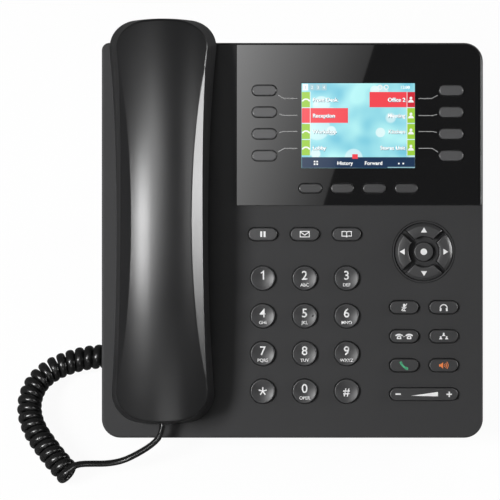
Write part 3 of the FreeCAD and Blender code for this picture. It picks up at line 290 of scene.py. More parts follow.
# %% [markdown]
# ## Writing finishes as sums
# A finish is a small tree of nodes. Dragging nodes by hand is slow to read back, so one class wraps a socket
# and lets Python's own signs add the Math nodes, and another adds any other node by its type.

# %% Sums of sockets
class Socket:
    """A node's output that takes part in Python sums."""

    def __init__(self, finish, socket):
        self.finish, self.socket = finish, socket

    def sum(self, operation, first, second):
        return self.finish.node("ShaderNodeMath", {"operation": operation}, {0: first, 1: second})

    def __add__(self, other):
        return self.sum("ADD", self, other)

    def __radd__(self, other):
        return self.sum("ADD", other, self)

    def __sub__(self, other):
        return self.sum("SUBTRACT", self, other)

    def __rsub__(self, other):
        return self.sum("SUBTRACT", other, self)

    def __mul__(self, other):
        return self.sum("MULTIPLY", self, other)

    def __rmul__(self, other):
        return self.sum("MULTIPLY", other, self)

    def greatest(self, other):
        return self.sum("MAXIMUM", self, other)


print("sockets take part in sums")

# %% Materials from expressions
# Places of the two colours and the result among the sockets of a node that mixes colours
MIX_LOW, MIX_HIGH, MIX_RESULT = 6, 7, 2


class Finish:
    """A material, a light or the world, built from expressions."""

    def __init__(self, name, owner=None):
        self.owner = owner or bpy.data.materials.new(name)
        self.owner.use_nodes = True
        self.tree = self.owner.node_tree
        self.shader = self.tree.nodes.get("Principled BSDF")

    def feed(self, socket, value):
        if isinstance(value, Socket):
            self.tree.links.new(value.socket, socket)
        else:
            socket.default_value = value

    def node(self, kind, settings=None, sockets=None, output=0):
        made = self.tree.nodes.new(kind)
        for key, value in (settings or {}).items():
            if key == "stops":
                set_stops(made.color_ramp, value)
            else:
                setattr(made, key, value)
        for key, value in (sockets or {}).items():
            self.feed(made.inputs[key], value)
        return Socket(self, made.outputs[output])

    def surface(self, sockets):
        """Values and links of the main shader."""
        for key, value in sockets.items():
            self.feed(self.shader.inputs[key], value)
        return self.owner

    def place(self):
        return self.node("ShaderNodeTexCoord", output="Object")

    def noise(self, where, size_mm, detail=2.0):
        sockets = {"Vector": where, "Scale": 1 / (size_mm * MM), "Detail": detail}
        return self.node("ShaderNodeTexNoise", {}, sockets)

    def between(self, mask, low, high):
        """Colour from one to another by a mask."""
        low, high = [c if isinstance(c, Socket) else (*c, 1) for c in (low, high)]
        colours = {"Factor": mask, MIX_LOW: low, MIX_HIGH: high}
        return self.node("ShaderNodeMix", {"data_type": "RGBA"}, colours, output=MIX_RESULT)

    def spread(self, value, start, end, low=0.0, high=1.0, shape="LINEAR"):
        """From low to high while a value runs from start to end."""
        ends = {"Value": value, "From Min": start, "From Max": end, "To Min": low, "To Max": high}
        return self.node("ShaderNodeMapRange", {"interpolation_type": shape}, ends)

    def bump(self, height, depth_mm, strength):
        sockets = {"Height": height, "Distance": depth_mm * MM, "Strength": strength}
        return self.node("ShaderNodeBump", {}, sockets)


def set_stops(ramp, stops):
    """Colour ramp stops as (place, grey) pairs."""
    while len(ramp.elements) < len(stops):
        ramp.elements.new(0.5)
    for element, (place, grey) in zip(ramp.elements, stops):
        element.position = place
        element.color = (grey, grey, grey, 1)


print("finish helper ready")

# %% [markdown]
# ## The studio
# The picture was taken on white with soft lights. A box at the left lights the phone, one behind it lights
# the back, and a strip at the right edges the handset and the keys. Four cards only show as reflections, on
# the handset's crown, on the keys and in the glossy display surround, as boards are set up for shiny things.
# The floor shows white to the lens through its material, so no extra light falls on the phone.

# %% Floor
FLOOR_REACH = 3.0
FLOOR_WHITE = 0.95
MIRRORED_WHITE = 0.12
PAPER = (0.82, 0.82, 0.82, 1)
WHITE = (1, 1, 1, 1)


def ray_kinds(finish):
    """Whether a ray comes from the lens, from a mirror or through glass."""
    kinds = ("Is Camera Ray", "Is Glossy Ray", "Is Transmission Ray")
    return [finish.node("ShaderNodeLightPath", output=kind) for kind in kinds]


floor_mesh = bpy.data.meshes.new("floor")
corners = [(-1, -1, 0), (1, -1, 0), (1, 1, 0), (-1, 1, 0)]
floor_mesh.from_pydata([Vector(c) * FLOOR_REACH for c in corners], [], [(0, 1, 2, 3)])
floor = link_mesh("floor", floor_mesh)
paper = Finish("white_paper")
straight, bounced, through = ray_kinds(paper)
matt = paper.node("ShaderNodeBsdfDiffuse", {}, {"Color": PAPER})
bright = paper.node("ShaderNodeEmission", {}, {"Color": WHITE, "Strength": 1.0})
dim = paper.node("ShaderNodeEmission", {}, {"Color": WHITE, "Strength": MIRRORED_WHITE})
seen = straight.greatest(bounced).greatest(through) * FLOOR_WHITE
both = paper.node("ShaderNodeMixShader", {}, {0: seen, 1: matt, 2: bright})
both = paper.node("ShaderNodeMixShader", {}, {0: bounced, 1: both, 2: dim})
paper.feed(paper.tree.nodes["Material Output"].inputs["Surface"], both)
floor_mesh.materials.append(paper.owner)
print("floor", 2 * FLOOR_REACH, "m wide")

# %% Room
AMBIENT = 0.06
# Heights of a ray between which the room's brightness changes, and its brightness at each
BACKDROP = (0.25, 0.7, 1.0, 0.16)
MIRRORED = (0.05, 0.5, 0.08, 0.05)
scene.world = bpy.data.worlds.new("studio")
room = Finish("studio", scene.world)
straight, bounced, through = ray_kinds(room)
sky = room.node("ShaderNodeTexCoord", output="Generated")
height = room.node("ShaderNodeSeparateXYZ", {}, {0: sky}, output="Z")
backdrop = room.spread(height, *BACKDROP)
mirrored = room.spread(height, *MIRRORED)
unseen = 1 - straight.greatest(bounced).greatest(through)
strength = straight.greatest(through) * backdrop + bounced * mirrored + unseen * AMBIENT
background = room.tree.nodes["Background"].inputs
room.feed(background["Strength"], strength)
room.feed(background["Color"], WHITE)
print("room with", len(room.tree.nodes), "nodes")

# %% Lights
PANEL_TURN = math.radians(-17.7)
# Part of the front panel over which its light fades, and the root of its strength at each end
PANEL_FADE = (0.436, 1.0, 1.744, 0.365)
# Point of the face that it looks at in millimetres, way to it, distance, width and length in metres, watts,
# and a turn about its own axis where it has one
LIGHTS = {
    "key_box": ((-40, 105, 0), (-0.72, 0.02, 0.694), 1.1, 0.26, 0.5, 15.6),
    "crown_box": ((-65, 105, 20), (-0.455, 0.0, 0.89), 1.1, 0.3, 0.24, 10.3),
    "right_strip": ((-45, 225, 20), (1.0, 0.0, 0.02), 0.8, 0.26, 0.34, 5.6),
    "right_box": ((-20, 105, 10), (0.57, 0.11, 0.81), 1.1, 0.3, 0.5, 2.1),
    "low_box": ((-65, 20, 20), (0.1, -0.5, 0.86), 1.1, 0.5, 0.3, 1.1),
    "rear_box": ((0, 100, -30), (0.35, 0.83, -0.435), 1.3, 0.7, 0.4, 16.0),
    "front_panel": ((-180.9, 231.3, 0), (0, 0, 1), 0.9, 0.5, 0.38, 1.14, PANEL_TURN),
}


def softbox(name, aim, way, away, width, length, watts, turn=0.0):
    """Area light that looks at a point of the face from a direction given in the face's axes."""
    lamp = bpy.data.lights.new(name, "AREA")
    lamp.shape = "RECTANGLE"
    lamp.size, lamp.size_y = width, length
    lamp.energy = watts
    made = bpy.data.objects.new(name, lamp)
    back = (RIGHT * way[0] + UP * way[1] + OUT * way[2]).normalized()
    side = UP.cross(back).normalized()
    facing = Matrix((side, back.cross(side), back)).transposed().to_4x4() @ Matrix.Rotation(turn, 4, "Z")
    made.matrix_world = Matrix.Translation(on_face(*aim) + back * away) @ facing
    made.visible_camera = False
    scene.collection.objects.link(made)
    return made


lights = {name: softbox(name, *row) for name, row in LIGHTS.items()}
for name in ("crown_box", "right_box", "low_box", "front_panel"):
    lights[name].visible_diffuse = False
for name in ("key_box", "rear_box"):
    lights[name].visible_glossy = False
front = Finish("front_panel", lights["front_panel"].data)
spot = front.node("ShaderNodeTexCoord", output="UV")
across = front.node("ShaderNodeSeparateXYZ", {}, {0: spot}, output="X")
fade = front.spread(across, *PANEL_FADE)
front.feed(front.tree.nodes["Emission"].inputs["Strength"], fade * fade)
print("lights", list(lights))

# %% [markdown]
# ## Plastics
# The housing, keys and handset are injection moulded in dark plastic. A mould is spark eroded to a fine
# grain, so the surface scatters light a little unevenly. A noise of about a third of a millimetre gives that
# grain to a Bump node, and a slow noise shifts colour and gloss the way real mouldings vary.

# %% Moulded plastic finishes
# Share by which the colour drifts, and the sizes of the slow drift and of its specks, in millimetres
DRIFT, DRIFT_MM, SPECK_MM = 0.1, 38.0, 1.7
# Colour and roughness, then the grain's size, depth and strength and the shine where they aren't the usual
PLASTICS = {
    "body_plastic": ((0.046, 0.046, 0.047), 0.42, 0.35, 0.02, 0.25, 0.05),
    "handset_plastic": ((0.011, 0.011, 0.0115), 0.30, 0.3, 0.012, 0.2),
    "key_plastic": ((0.0255, 0.0255, 0.0265), 0.36, 0.25, 0.01, 0.2),
    # The line keys' plastic is the key plastic made lighter: the extra lightness is painted light, for the
    # light those keys catch beside the screen
    "line_plastic": ((0.085, 0.085, 0.087), 0.22, 0.25, 0.008, 0.15),
    "soft_plastic": ((0.040, 0.040, 0.041), 0.30, 0.25, 0.008, 0.15),
    "jack_plastic": ((0.012, 0.012, 0.012), 0.45),
    "foot_rubber": ((0.018, 0.018, 0.018), 0.75, 0.6, 0.05, 0.5),
    "silicone": ((0.32, 0.32, 0.31), 0.55),
    "driver_cone": ((0.015, 0.015, 0.014), 0.8, 0.9, 0.06, 0.6),
    "plug_plastic": ((0.030, 0.030, 0.032), 0.16, 1.2, 0.01, 0.1),
    "cord_plastic": ((0.010, 0.010, 0.010), 0.24, 0.5, 0.01, 0.15),
}


def moulded(name, colour, rough, grain_mm=0.35, grain_depth=0.02, grain_strength=0.25, shine=0.5):
    """Plastic or rubber with the grain of its mould and a slow drift of colour and gloss."""
    finish = Finish(name)
    where = finish.place()
    slow = finish.noise(where, DRIFT_MM)
    fine = finish.noise(where, grain_mm, 3.0)
    speck = finish.noise(where, SPECK_MM, 4.0)
    low = [c * (1 - DRIFT) for c in colour]
    high = [c * (1 + DRIFT) for c in colour]
    return finish.surface({
        "Base Color": finish.between(0.7 * slow + 0.3 * speck, low, high),
        "Roughness": rough - 0.06 + 0.08 * slow + 0.05 * fine,
        "Normal": finish.bump(fine, grain_depth, grain_strength),
        "Specular IOR Level": shine,
    })


finishes = {name: moulded(name, *values) for name, values in PLASTICS.items()}
curly_cord.data.materials.append(finishes["cord_plastic"])
print("plastics", list(finishes))


# %% Gloss panel, board and steel
def gloss_panel():
    """Polished surround: nearly black, with faint wiping marks in its shine."""
    finish = Finish("panel_gloss")
    where = finish.place()
    smear = finish.noise(where, 24.0, 4.0)
    dust = finish.noise(where, 0.5, 2.0)
    return finish.surface({
        "Base Color": finish.between(smear, (0.0045, 0.0045, 0.005), (0.0065, 0.0065, 0.007)),
        "Roughness": 0.008 + 0.014 * smear + 0.01 * dust,
        "IOR": 2.0,
    })


def circuit_board():
    """Green lacquer over a net of copper tracks."""
    finish = Finish("board")
    where = finish.place()
    copper = finish.node("ShaderNodeTexVoronoi", {"feature": "DISTANCE_TO_EDGE"},
                         {"Vector": where, "Scale": 1 / (3 * MM)})
    tracks = finish.node("ShaderNodeValToRGB", {"stops": ((0.04, 1.0), (0.09, 0.0))}, {"Fac": copper})
    return finish.surface({"Base Color": finish.between(tracks, (0.01, 0.06, 0.03), (0.03, 0.14, 0.07)),
                           "Roughness": 0.35 + 0.1 * copper})


def bright_steel():
    """Plated screw steel with a fine grain."""
    finish = Finish("steel")
    grain = finish.noise(finish.place(), 0.2, 3.0)
    return finish.surface({"Base Color": finish.between(grain, (0.42, 0.42, 0.41), (0.56, 0.56, 0.55)),
                           "Metallic": 1.0, "Roughness": 0.26 + 0.14 * grain,
                           "Normal": finish.bump(grain, 0.01, 0.2)})


finishes["panel_gloss"] = gloss_panel()
finishes["board"] = circuit_board()
finishes["steel"] = bright_steel()
print("finishes", len(finishes))

# %% [markdown]
# ## Dressing the CAD pieces
# The CAD pieces keep the exact normals of their solids, so curved shells shade smoothly and creases stay
# crisp. Each only needs its finish. The keys beside and under the screen and the navigation keys are smoother
# than the dial keys.

# %% Finish of every node
DRESSED = {
    "panel_gloss": ("display_panel", "lcd_module"), "silicone": ("keypad_mat",), "board": ("main_board",),
    "jack_plastic": ("modular_jacks", "power_jack"), "driver_cone": ("loudspeaker", "handset_capsules"),
    "steel": ("housing_screws",), "foot_rubber": ("rubber_feet",),
    "plug_plastic": ("base_plug", "handset_plug"),
    "handset_plastic": ("handset_outer_shell", "handset_inner_shell"),
    "body_plastic": ("front_cover", "back_cover", "stand", "hook_plunger"),
}
# Keys beside the screen take the line plastic, whose lighter tone is painted light
SMOOTH_ROWS = {"line": "line_plastic", "soft": "soft_plastic", "nav": "soft_plastic"}
node_finish = {node: finish for finish, group in DRESSED.items() for node in group}
for name, piece in nodes.items():
    row_finish = SMOOTH_ROWS.get(name.split("_")[0], "key_plastic")
    piece.data.materials.clear()
    piece.data.materials.append(finishes[node_finish.get(name, row_finish)])
print("dressed", len(nodes), "nodes")

# %% [markdown]
# ## Turned pieces
# The dial keys are round caps with a dished top that guides the fingertip, and a thin ring frames the
# navigation keys. Both are turned shapes. They could be spun in mesh code, but a Geometry Nodes tree that
# sweeps an outline round an axis makes all of them alike. Each cap then moves with its own key.

# %% Tree that turns an outline
TURN_AXIS = 0.00001
TREE_SOCKETS = (("Geometry", "OUTPUT", "NodeSocketGeometry"), ("Geometry", "INPUT", "NodeSocketGeometry"),
                ("Steps", "INPUT", "NodeSocketInt"), ("Axis", "INPUT", "NodeSocketFloat"))


def add_node(tree, kind, links):
    """Geometry node with its sockets' values or links."""
    made = tree.nodes.new(kind)
    for key, value in links.items():
        if isinstance(value, bpy.types.NodeSocket):
            tree.links.new(value, made.inputs[key])
        else:
            made.inputs[key].default_value = value
    return made.outputs[0]


def turning_tree(name, finish):
    """Sweeps the given outline round an axis thinner than a hair, and closes it there."""
    tree = bpy.data.node_groups.new(name, "GeometryNodeTree")
    for socket, way, kind in TREE_SOCKETS:
        tree.interface.new_socket(socket, in_out=way, socket_type=kind)
    given, result = tree.nodes.new("NodeGroupInput").outputs, tree.nodes.new("NodeGroupOutput")
    outline = add_node(tree, "GeometryNodeMeshToCurve", {"Mesh": given["Geometry"]})
    circle = {"Resolution": given["Steps"], "Radius": given["Axis"]}
    axis = add_node(tree, "GeometryNodeCurvePrimitiveCircle", circle)
    swept = add_node(tree, "GeometryNodeCurveToMesh", {"Curve": axis, "Profile Curve": outline})
    closed = add_node(tree, "GeometryNodeMergeByDistance", {"Geometry": swept, "Distance": 3 * TURN_AXIS})
    whole = add_node(tree, "GeometryNodeRealizeInstances", {"Geometry": closed})
    dressed = add_node(tree, "GeometryNodeSetMaterial", {"Geometry": whole, "Material": finish})
    tree.links.new(dressed, result.inputs["Geometry"])
    return tree


key_turning = turning_tree("turned_key", finishes["key_plastic"])
ring_turning = turning_tree("turned_ring", finishes["body_plastic"])
print("turning trees with", len(key_turning.nodes), "nodes")

# %% Pieces from an outline
CAP_STEPS, PIP_STEPS, RING_STEPS = 72, 20, 96
SHARP_EDGE = math.radians(40)


def moving_piece(name, mesh, body):
    """Piece from a closed mesh, with its faces outwards and crisp edges, that moves with a body."""
    shape = bmesh.new()
    shape.from_mesh(mesh)
    bmesh.ops.recalc_face_normals(shape, faces=shape.faces)
    shape.to_mesh(mesh)
    shape.free()
    mesh.shade_smooth()
    mesh.set_sharp_from_angle(angle=SHARP_EDGE)
    made = link_mesh(name, mesh)
    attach(made, body)
    return made


def turned(name, tree, outline, x, y, body, steps, ring=False):
    """Piece from an outline of radius and height in millimetres, turned about a point of the face."""
    count = len(outline)
    edges = [(i, (i + 1) % count) for i in range(count if ring else count - 1)]
    flat = bpy.data.meshes.new(name)
    flat.from_pydata([(r * MM, -h * MM, 0) for r, h in outline], edges, [])
    maker = link_mesh(name + "_outline", flat)
    turn = maker.modifiers.new("turn", "NODES")
    turn.node_group = tree
    sizes = {"Steps": steps, "Axis": TURN_AXIS}
    for item in tree.interface.items_tree:
        if item.in_out == "INPUT" and item.name in sizes:
            turn[item.identifier] = sizes[item.name]
    mesh = bpy.data.meshes.new_from_object(maker.evaluated_get(bpy.context.evaluated_depsgraph_get()))
    bpy.data.objects.remove(maker)
    mesh.name = name
    mesh.transform(Matrix.Translation(on_face(x, y)) @ face_turn)
    return moving_piece(name, mesh, body)


print("steps round a cap, the pip and the ring", CAP_STEPS, PIP_STEPS, RING_STEPS)

# %% Dished caps of the dial keys
DIAL_X, DIAL_STEP_X = 6.2, 21.2
DIAL_Y, DIAL_STEP_Y = 23.7, 19.05
DIAL_ROWS = (("star", "0", "hash"), ("7", "8", "9"), ("4", "5", "6"), ("1", "2", "3"))
DISH_WIDE, DISH_DEEP, CAP_RISE = 5.45, 0.62, 1.3
DISH_STEPS = 10
# Radius and height of the cap's rim, side, flange and hollow
CAP_SIDE = ((5.6, 1.325), (5.75, 1.325), (5.9, 1.28), (6.03, 1.19), (6.13, 1.06), (6.19, 0.9), (6.2, 0.75),
            (6.2, -3.0), (7.1, -3.0), (7.1, -3.8), (6.6, -3.8), (6.6, -2.6), (0.0, -2.6))
PIP = ((0.0, 1.36), (0.25, 1.33), (0.42, 1.22), (0.5, 1.05), (0.5, 0.6), (0.0, 0.6))
PIP_ASIDE = 4.1
shares = [k / DISH_STEPS for k in range(DISH_STEPS + 1)]
dish = [(DISH_WIDE * share, CAP_RISE - DISH_DEEP * (1 - share ** 2)) for share in shares]
cap_outline = dish + list(CAP_SIDE)
dial_place, dial_cap = {}, {}
for row, trio in enumerate(DIAL_ROWS):
    for column, key in enumerate(trio):
        node = f"dial_key_{key}"
        x, y = DIAL_X + (column - 1) * DIAL_STEP_X, DIAL_Y + row * DIAL_STEP_Y
        cap = turned(f"cap_{key}", key_turning, cap_outline, x, y, nodes[node]["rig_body"], CAP_STEPS)
        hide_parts(node)
        dial_place[key], dial_cap[key] = (x, y), cap
pip_x, pip_y = dial_place["5"]
turned("cap_pip", key_turning, PIP, pip_x + PIP_ASIDE, pip_y, nodes["dial_key_5"]["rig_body"], PIP_STEPS)
print("caps", len(dial_cap), "faces each", len(dial_cap["5"].data.polygons))

# %% Ring round the navigation keys
FUNCTION_X, NAV_Y = 66.4, 94.2
NAV_RING = ((14.85, -0.69), (14.85, 0.05), (14.92, 0.18), (15.05, 0.24), (15.45, 0.24), (15.58, 0.18),
            (15.66, 0.05), (15.66, -0.69))
turned("nav_ring", ring_turning, NAV_RING, FUNCTION_X, NAV_Y, "base", RING_STEPS, ring=True)
print("ring laid round the navigation keys")

# %% [markdown]
# ## Crowned arrow keys
# The four arrow keys are parts of one shallow dome with a bevelled outer edge, which catches the light at the
# sides. They could be cut out of a turned dome, but the channels between them have parallel sides, so each
# crown is a grid whose columns start beside a channel. It caps the plain key and moves with it.

# %% Section of a crown
CHANNEL_HALF = 1.23
# Radius and height of the crown's section, and the height of its foot
NAV_CROWN = ((7.88, 0.3), (7.88, 1.8), (8.0, 1.92), (8.2, 1.98), (10.5, 1.93), (12.7, 1.85), (12.9, 1.82),
             (13.05, 1.75), (14.2, 0.77), (14.35, 0.67), (14.42, 0.57), (14.42, 0.3))
CROWN_FOOT = 0.3
# Distance from the channel and drop of the rounded edge there
CROWN_EDGE = ((0.0, 0.13), (0.1, 0.04), (0.25, 0.0))
CROWN_COLUMNS = 20
KEY_FIRST, KEY_LAST = math.pi / 4, 3 * math.pi / 4


def crown_row(r, h, turn):
    """Points across one arrow key at a radius, from channel to channel."""
    sides = [(math.asin((CHANNEL_HALF + away) / r), drop) for away, drop in CROWN_EDGE]
    inset = sides.pop()[0]
    step = (KEY_LAST - KEY_FIRST - 2 * inset) / CROWN_COLUMNS
    columns = [(KEY_FIRST + angle, drop) for angle, drop in sides]
    columns += [(KEY_FIRST + inset + step * k, 0.0) for k in range(CROWN_COLUMNS + 1)]
    columns += [(KEY_LAST - angle, drop) for angle, drop in reversed(sides)]
    row = []
    for angle, drop in columns:
        way = angle + math.radians(turn)
        height = h if h == CROWN_FOOT else h - drop
        row.append(on_face(FUNCTION_X + r * math.cos(way), NAV_Y + r * math.sin(way), height))
    return row


print("crown of", len(NAV_CROWN), "rows")

# %% Crowns of the arrow keys
# Turn of each key from the upper one, in degrees
ARROW_KEYS = {"nav_right_key": -90, "nav_up_key": 0, "nav_left_key": 90, "nav_down_key": 180}


def crown(key, turn):
    """Closed crown over an arrow key."""
    name = "crown_" + key.replace("_key", "")
    rows = [crown_row(r, h, turn) for r, h in NAV_CROWN]
    wide, deep = len(rows[0]), len(rows)
    faces = []
    for i in range(deep):
        a, b = i * wide, (i + 1) % deep * wide
        faces += [(a + k, a + k + 1, b + k + 1, b + k) for k in range(wide - 1)]
    faces += [tuple(i * wide + end for i in range(deep)) for end in (0, wide - 1)]
    mesh = bpy.data.meshes.new(name)
    mesh.from_pydata([place for row in rows for place in row], [], faces)
    mesh.materials.append(finishes["soft_plastic"])
    return moving_piece(name, mesh, nodes[key]["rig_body"])


nav_crowns = {key: crown(key, turn) for key, turn in ARROW_KEYS.items()}
print("arrow keys crowned", len(nav_crowns))

# %% [markdown]
# ## Printed signs
# Signs on keys are printed after moulding, in a layer a few hundredths of a millimetre thick. They could be
# painted in a material, but then they would blur up close. Here each is a flat outline, filled to a mesh, cut
# into small triangles and dropped onto the key's own surface, so that it follows the dish or crown there.

# %% Flat outlines
# Height of the built-in font's capitals as a share of its size
CAPITALS = 0.73
LETTER_STEPS = 5


def filled(loops):
    """Flat mesh inside closed outlines, where an outline within another is a hole."""
    curve = bpy.data.curves.new("outline", "CURVE")
    curve.dimensions = "2D"
    curve.fill_mode = "BOTH"
    for loop in loops:
        spline = curve.splines.new("POLY")
        spline.points.add(len(loop) - 1)
        for point, (x, y) in zip(spline.points, loop):
            point.co = (x, y, 0, 1)
        spline.use_cyclic_u = True
    return flat_mesh(curve)


def separate(*loops):
    """One flat mesh for each outline."""
    return [filled([loop]) for loop in loops]


def flat_mesh(curve):
    """Flat mesh of a filled curve or of lettering."""
    holder = bpy.data.objects.new("outline", curve)
    mesh = bpy.data.meshes.new_from_object(holder)
    bpy.data.objects.remove(holder)
    return mesh


def words(text, tall, x=0.0, y=0.0, align="CENTER", bold=0.0):
    """Lettering whose capitals are a height tall, set round a point."""
    curve = bpy.data.curves.new("words", "FONT")
    curve.body = text
    curve.align_x = align
    curve.resolution_u = LETTER_STEPS
    curve.offset = bold
    mesh = flat_mesh(curve)
    mesh.transform(Matrix.Translation((x, y - tall / 2, 0)) @ Matrix.Scale(tall / CAPITALS, 4))
    return mesh


print("outlines are filled to flat meshes")

# %% Simple outlines to draw with
CORNER_STEPS = 8


def disc(x, y, r, count=28):
    """Circle round a point."""
    return [(x + r * math.cos(2 * math.pi * k / count), y + r * math.sin(2 * math.pi * k / count))
            for k in range(count)]


def block(x, y, wide, tall, r=0.0, turn=0.0):
    """Rectangle round a point, with rounded corners, turned about its middle by degrees."""
    loop = []
    for cx, cy, start in ((1, 1, 0), (-1, 1, 90), (-1, -1, 180), (1, -1, 270)):
        for k in range(CORNER_STEPS + 1 if r else 1):
            a = math.radians(start + 90 * k / CORNER_STEPS)
            loop.append((cx * (wide / 2 - r) + r * math.cos(a), cy * (tall / 2 - r) + r * math.sin(a)))
    c, s = math.cos(math.radians(turn)), math.sin(math.radians(turn))
    return [(x + px * c - py * s, y + px * s + py * c) for px, py in loop]


def band(x, y, outer, inner, start, end, count=16):
    """Part of a ring between two angles in degrees."""
    angles = [math.radians(start + (end - start) * k / count) for k in range(count + 1)]
    loop = [(x + outer * math.cos(a), y + outer * math.sin(a)) for a in angles]
    return loop + [(x + inner * math.cos(a), y + inner * math.sin(a)) for a in reversed(angles)]


def strip(points, wide):
    """Thin line of constant width along a few points."""
    left, right = [], []
    for i, (x, y) in enumerate(points):
        before, after = points[max(i - 1, 0)], points[min(i + 1, len(points) - 1)]
        way = Vector((after[0] - before[0], after[1] - before[1])).normalized()
        left.append((x - way.y * wide / 2, y + way.x * wide / 2))
        right.append((x + way.y * wide / 2, y - way.x * wide / 2))
    return left + right[::-1]


print("a rounded block has", len(block(0, 0, 2, 1, 0.2)), "points")

# %% Laying a sign on a surface
PRINT_PROUD = 0.025
PRINT_THICK = 0.05
# Longest edge after the cuts, the most rounds of cuts, and how near points are joined
PRINT_GRID, PRINT_CUTS, PRINT_JOIN = 0.9, 5, 0.002
# Height over the face from which signs are dropped
DROP_START = 40.0


def surface_of(piece):
    """Search tree over the faces of a piece."""
    mesh = piece.data
    places = [vertex.co.copy() for vertex in mesh.vertices]
    return BVHTree.FromPolygons(places, [list(face.vertices) for face in mesh.polygons])


def laid(name, meshes, x, y, under, body, finish, proud=PRINT_PROUD):
    """Joins flat meshes, drops them onto a surface or a level of the face, and gives them a thickness."""
    sheet = bmesh.new()
    for mesh in meshes:
        sheet.from_mesh(mesh)
        bpy.data.meshes.remove(mesh)
    bmesh.ops.remove_doubles(sheet, verts=sheet.verts, dist=PRINT_JOIN)
    bmesh.ops.triangulate(sheet, faces=sheet.faces)
    for _ in range(PRINT_CUTS):
        long = [e for e in sheet.edges if e.calc_length() > PRINT_GRID]
        if not long:
            break
        bmesh.ops.subdivide_edges(sheet, edges=long, cuts=1)
        bmesh.ops.triangulate(sheet, faces=sheet.faces)
    for vert in sheet.verts:
        px, py = x + vert.co.x, y + vert.co.y
        if isinstance(under, float):
            hit = on_face(px, py, under)
        else:
            hit = under.ray_cast(on_face(px, py, DROP_START), -OUT)[0]
        vert.co = hit + OUT * proud * MM
    for face in sheet.faces:
        face.normal_update()
    bmesh.ops.reverse_faces(sheet, faces=[f for f in sheet.faces if f.normal.dot(OUT) < 0])
    mesh = bpy.data.meshes.new(name)
    sheet.to_mesh(mesh)
    sheet.free()
    mesh.materials.append(finish)
    made = link_mesh(name, mesh)
    thick = made.modifiers.new("print", "SOLIDIFY")
    thick.thickness = PRINT_THICK * MM
    thick.offset = -1.0
    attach(made, body)
    return made


print("signs are", PRINT_THICK, "mm thick")


# %% Inks
def ink(name, colour, rough=0.5):
    """Printed lacquer, a little uneven where the screen mesh left it."""
    finish = Finish(name)
    where = finish.place()
    mesh_mark = finish.noise(where, 0.22, 2.0)
    thin = [c * 0.92 for c in colour]
    return finish.surface({"Base Color": finish.between(mesh_mark, thin, colour),
                           "Roughness": rough - 0.05 + 0.1 * mesh_mark,
                           "Normal": finish.bump(mesh_mark, 0.01, 0.2)})


white_ink = ink("white_ink", (0.86, 0.86, 0.86))
green_ink = ink("green_ink", (0.06, 0.42, 0.20))
orange_ink = ink("orange_ink", (0.85, 0.22, 0.04))
line_ink = ink("line_ink", (0.30, 0.30, 0.30))
# Near-black painted shade, laid round the key openings and along the panel's left side
gap_ink = ink("gap_ink", (0.0015, 0.0015, 0.0015), 0.9)
print("inks made")

# %% [markdown]
# ## Painted shade round the openings
# Round every key the opening's edge is broken and stays in shade, which draws a dark line round the cap. The
# gap itself is in the solids. A thin black sheet of painted shade on the cover widens it to what the eye
# sees, and the panel's left side gets such a painted shade line too.

# %% Painted shade lines
# Gap round a key in the solids, how far outside it the painted shade starts, and the painted shade's height
GAP, EDGE_CLEAR, EDGE_PROUD = 0.25, 0.02, 0.012
COVER_LEVEL, PANEL_LEVEL = 0.0, 0.3
# Width and length of each kind of key, and the width of its painted shade edge
DIAL, PILL = (12.4, 12.4, 0.1), (14.5, 6.5, 0.25)
LINE_KEY, SOFT_KEY = (12.2, 5.1, 0.2), (11.5, 4.6, 0.25)
# Places of the pill keys' signs on the face
PILL_SIGN = {"hold_key": (-15.0, 103.1), "message_key": (6.2, 103.1), "directory_key": (27.4, 103.1),
             "mute_key": (56.4, 66.14), "headset_key": (76.4, 66.14), "transfer_key": (56.4, 51.47),
             "conference_key": (76.4, 51.47), "send_key": (56.4, 36.8), "speaker_key": (76.4, 36.8)}
# The painted shade line at the panel's left side: how far in and how far up the face its middle is, width and
# length
SIDE_IN, SIDE_UP, SIDE_WIDE, SIDE_LONG = 0.15, 158.3, 0.5, 81.0


def key_middle(name):
    """Middle of a key on the face, in millimetres."""
    places = [(v.co - face_origin) / MM for v in nodes[name].data.vertices]
    spans = [[place.dot(axis) for place in places] for axis in (RIGHT, UP)]
    return [(min(span) + max(span)) / 2 for span in spans]


def painted_shade_line(x, y, wide, tall, line):
    """Thin outline of painted shade round an opening, with round ends."""
    loops = []
    for grow in (GAP + line, GAP + EDGE_CLEAR):
        w, h = wide + 2 * grow, tall + 2 * grow
        loops.append(block(x, y, w, h, h / 2))
    return filled(loops)


def painted_shade_lines(name, keys, level, more=()):
    """One thin black sheet of painted shade round all openings in a flat piece."""
    loops = [painted_shade_line(*key_middle(key), *size) for key, size in keys]
    return laid(name, loops + list(more), 0, 0, level, "base", gap_ink, EDGE_PROUD)


cover_keys = [(f"dial_key_{key}", DIAL) for key in dial_place] + [(key, PILL) for key in PILL_SIGN]
panel_keys = [(f"line_key_{k}", LINE_KEY) for k in range(1, 9)]
panel_keys += [(f"soft_key_{k}", SOFT_KEY) for k in range(1, 5)]
panel_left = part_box("display_panel")[0].x / MM
panel_side_shade = block(panel_left + SIDE_IN, SIDE_UP, SIDE_WIDE, SIDE_LONG)
# Painted shade round the cover's keys, and round the panel's keys and along its left side
painted_shade_lines("cover_edges", cover_keys, COVER_LEVEL)
painted_shade_lines("panel_edges", panel_keys, PANEL_LEVEL, separate(panel_side_shade))
print("edge lines", len(cover_keys) + len(panel_keys))

# %% [markdown]
# ## Dial keys
# Each dial key carries a large figure with its letters below, as on every telephone. Star and hash stand
# alone in the middle. The figures sit above the middle of the cap, so that the pair looks centred.

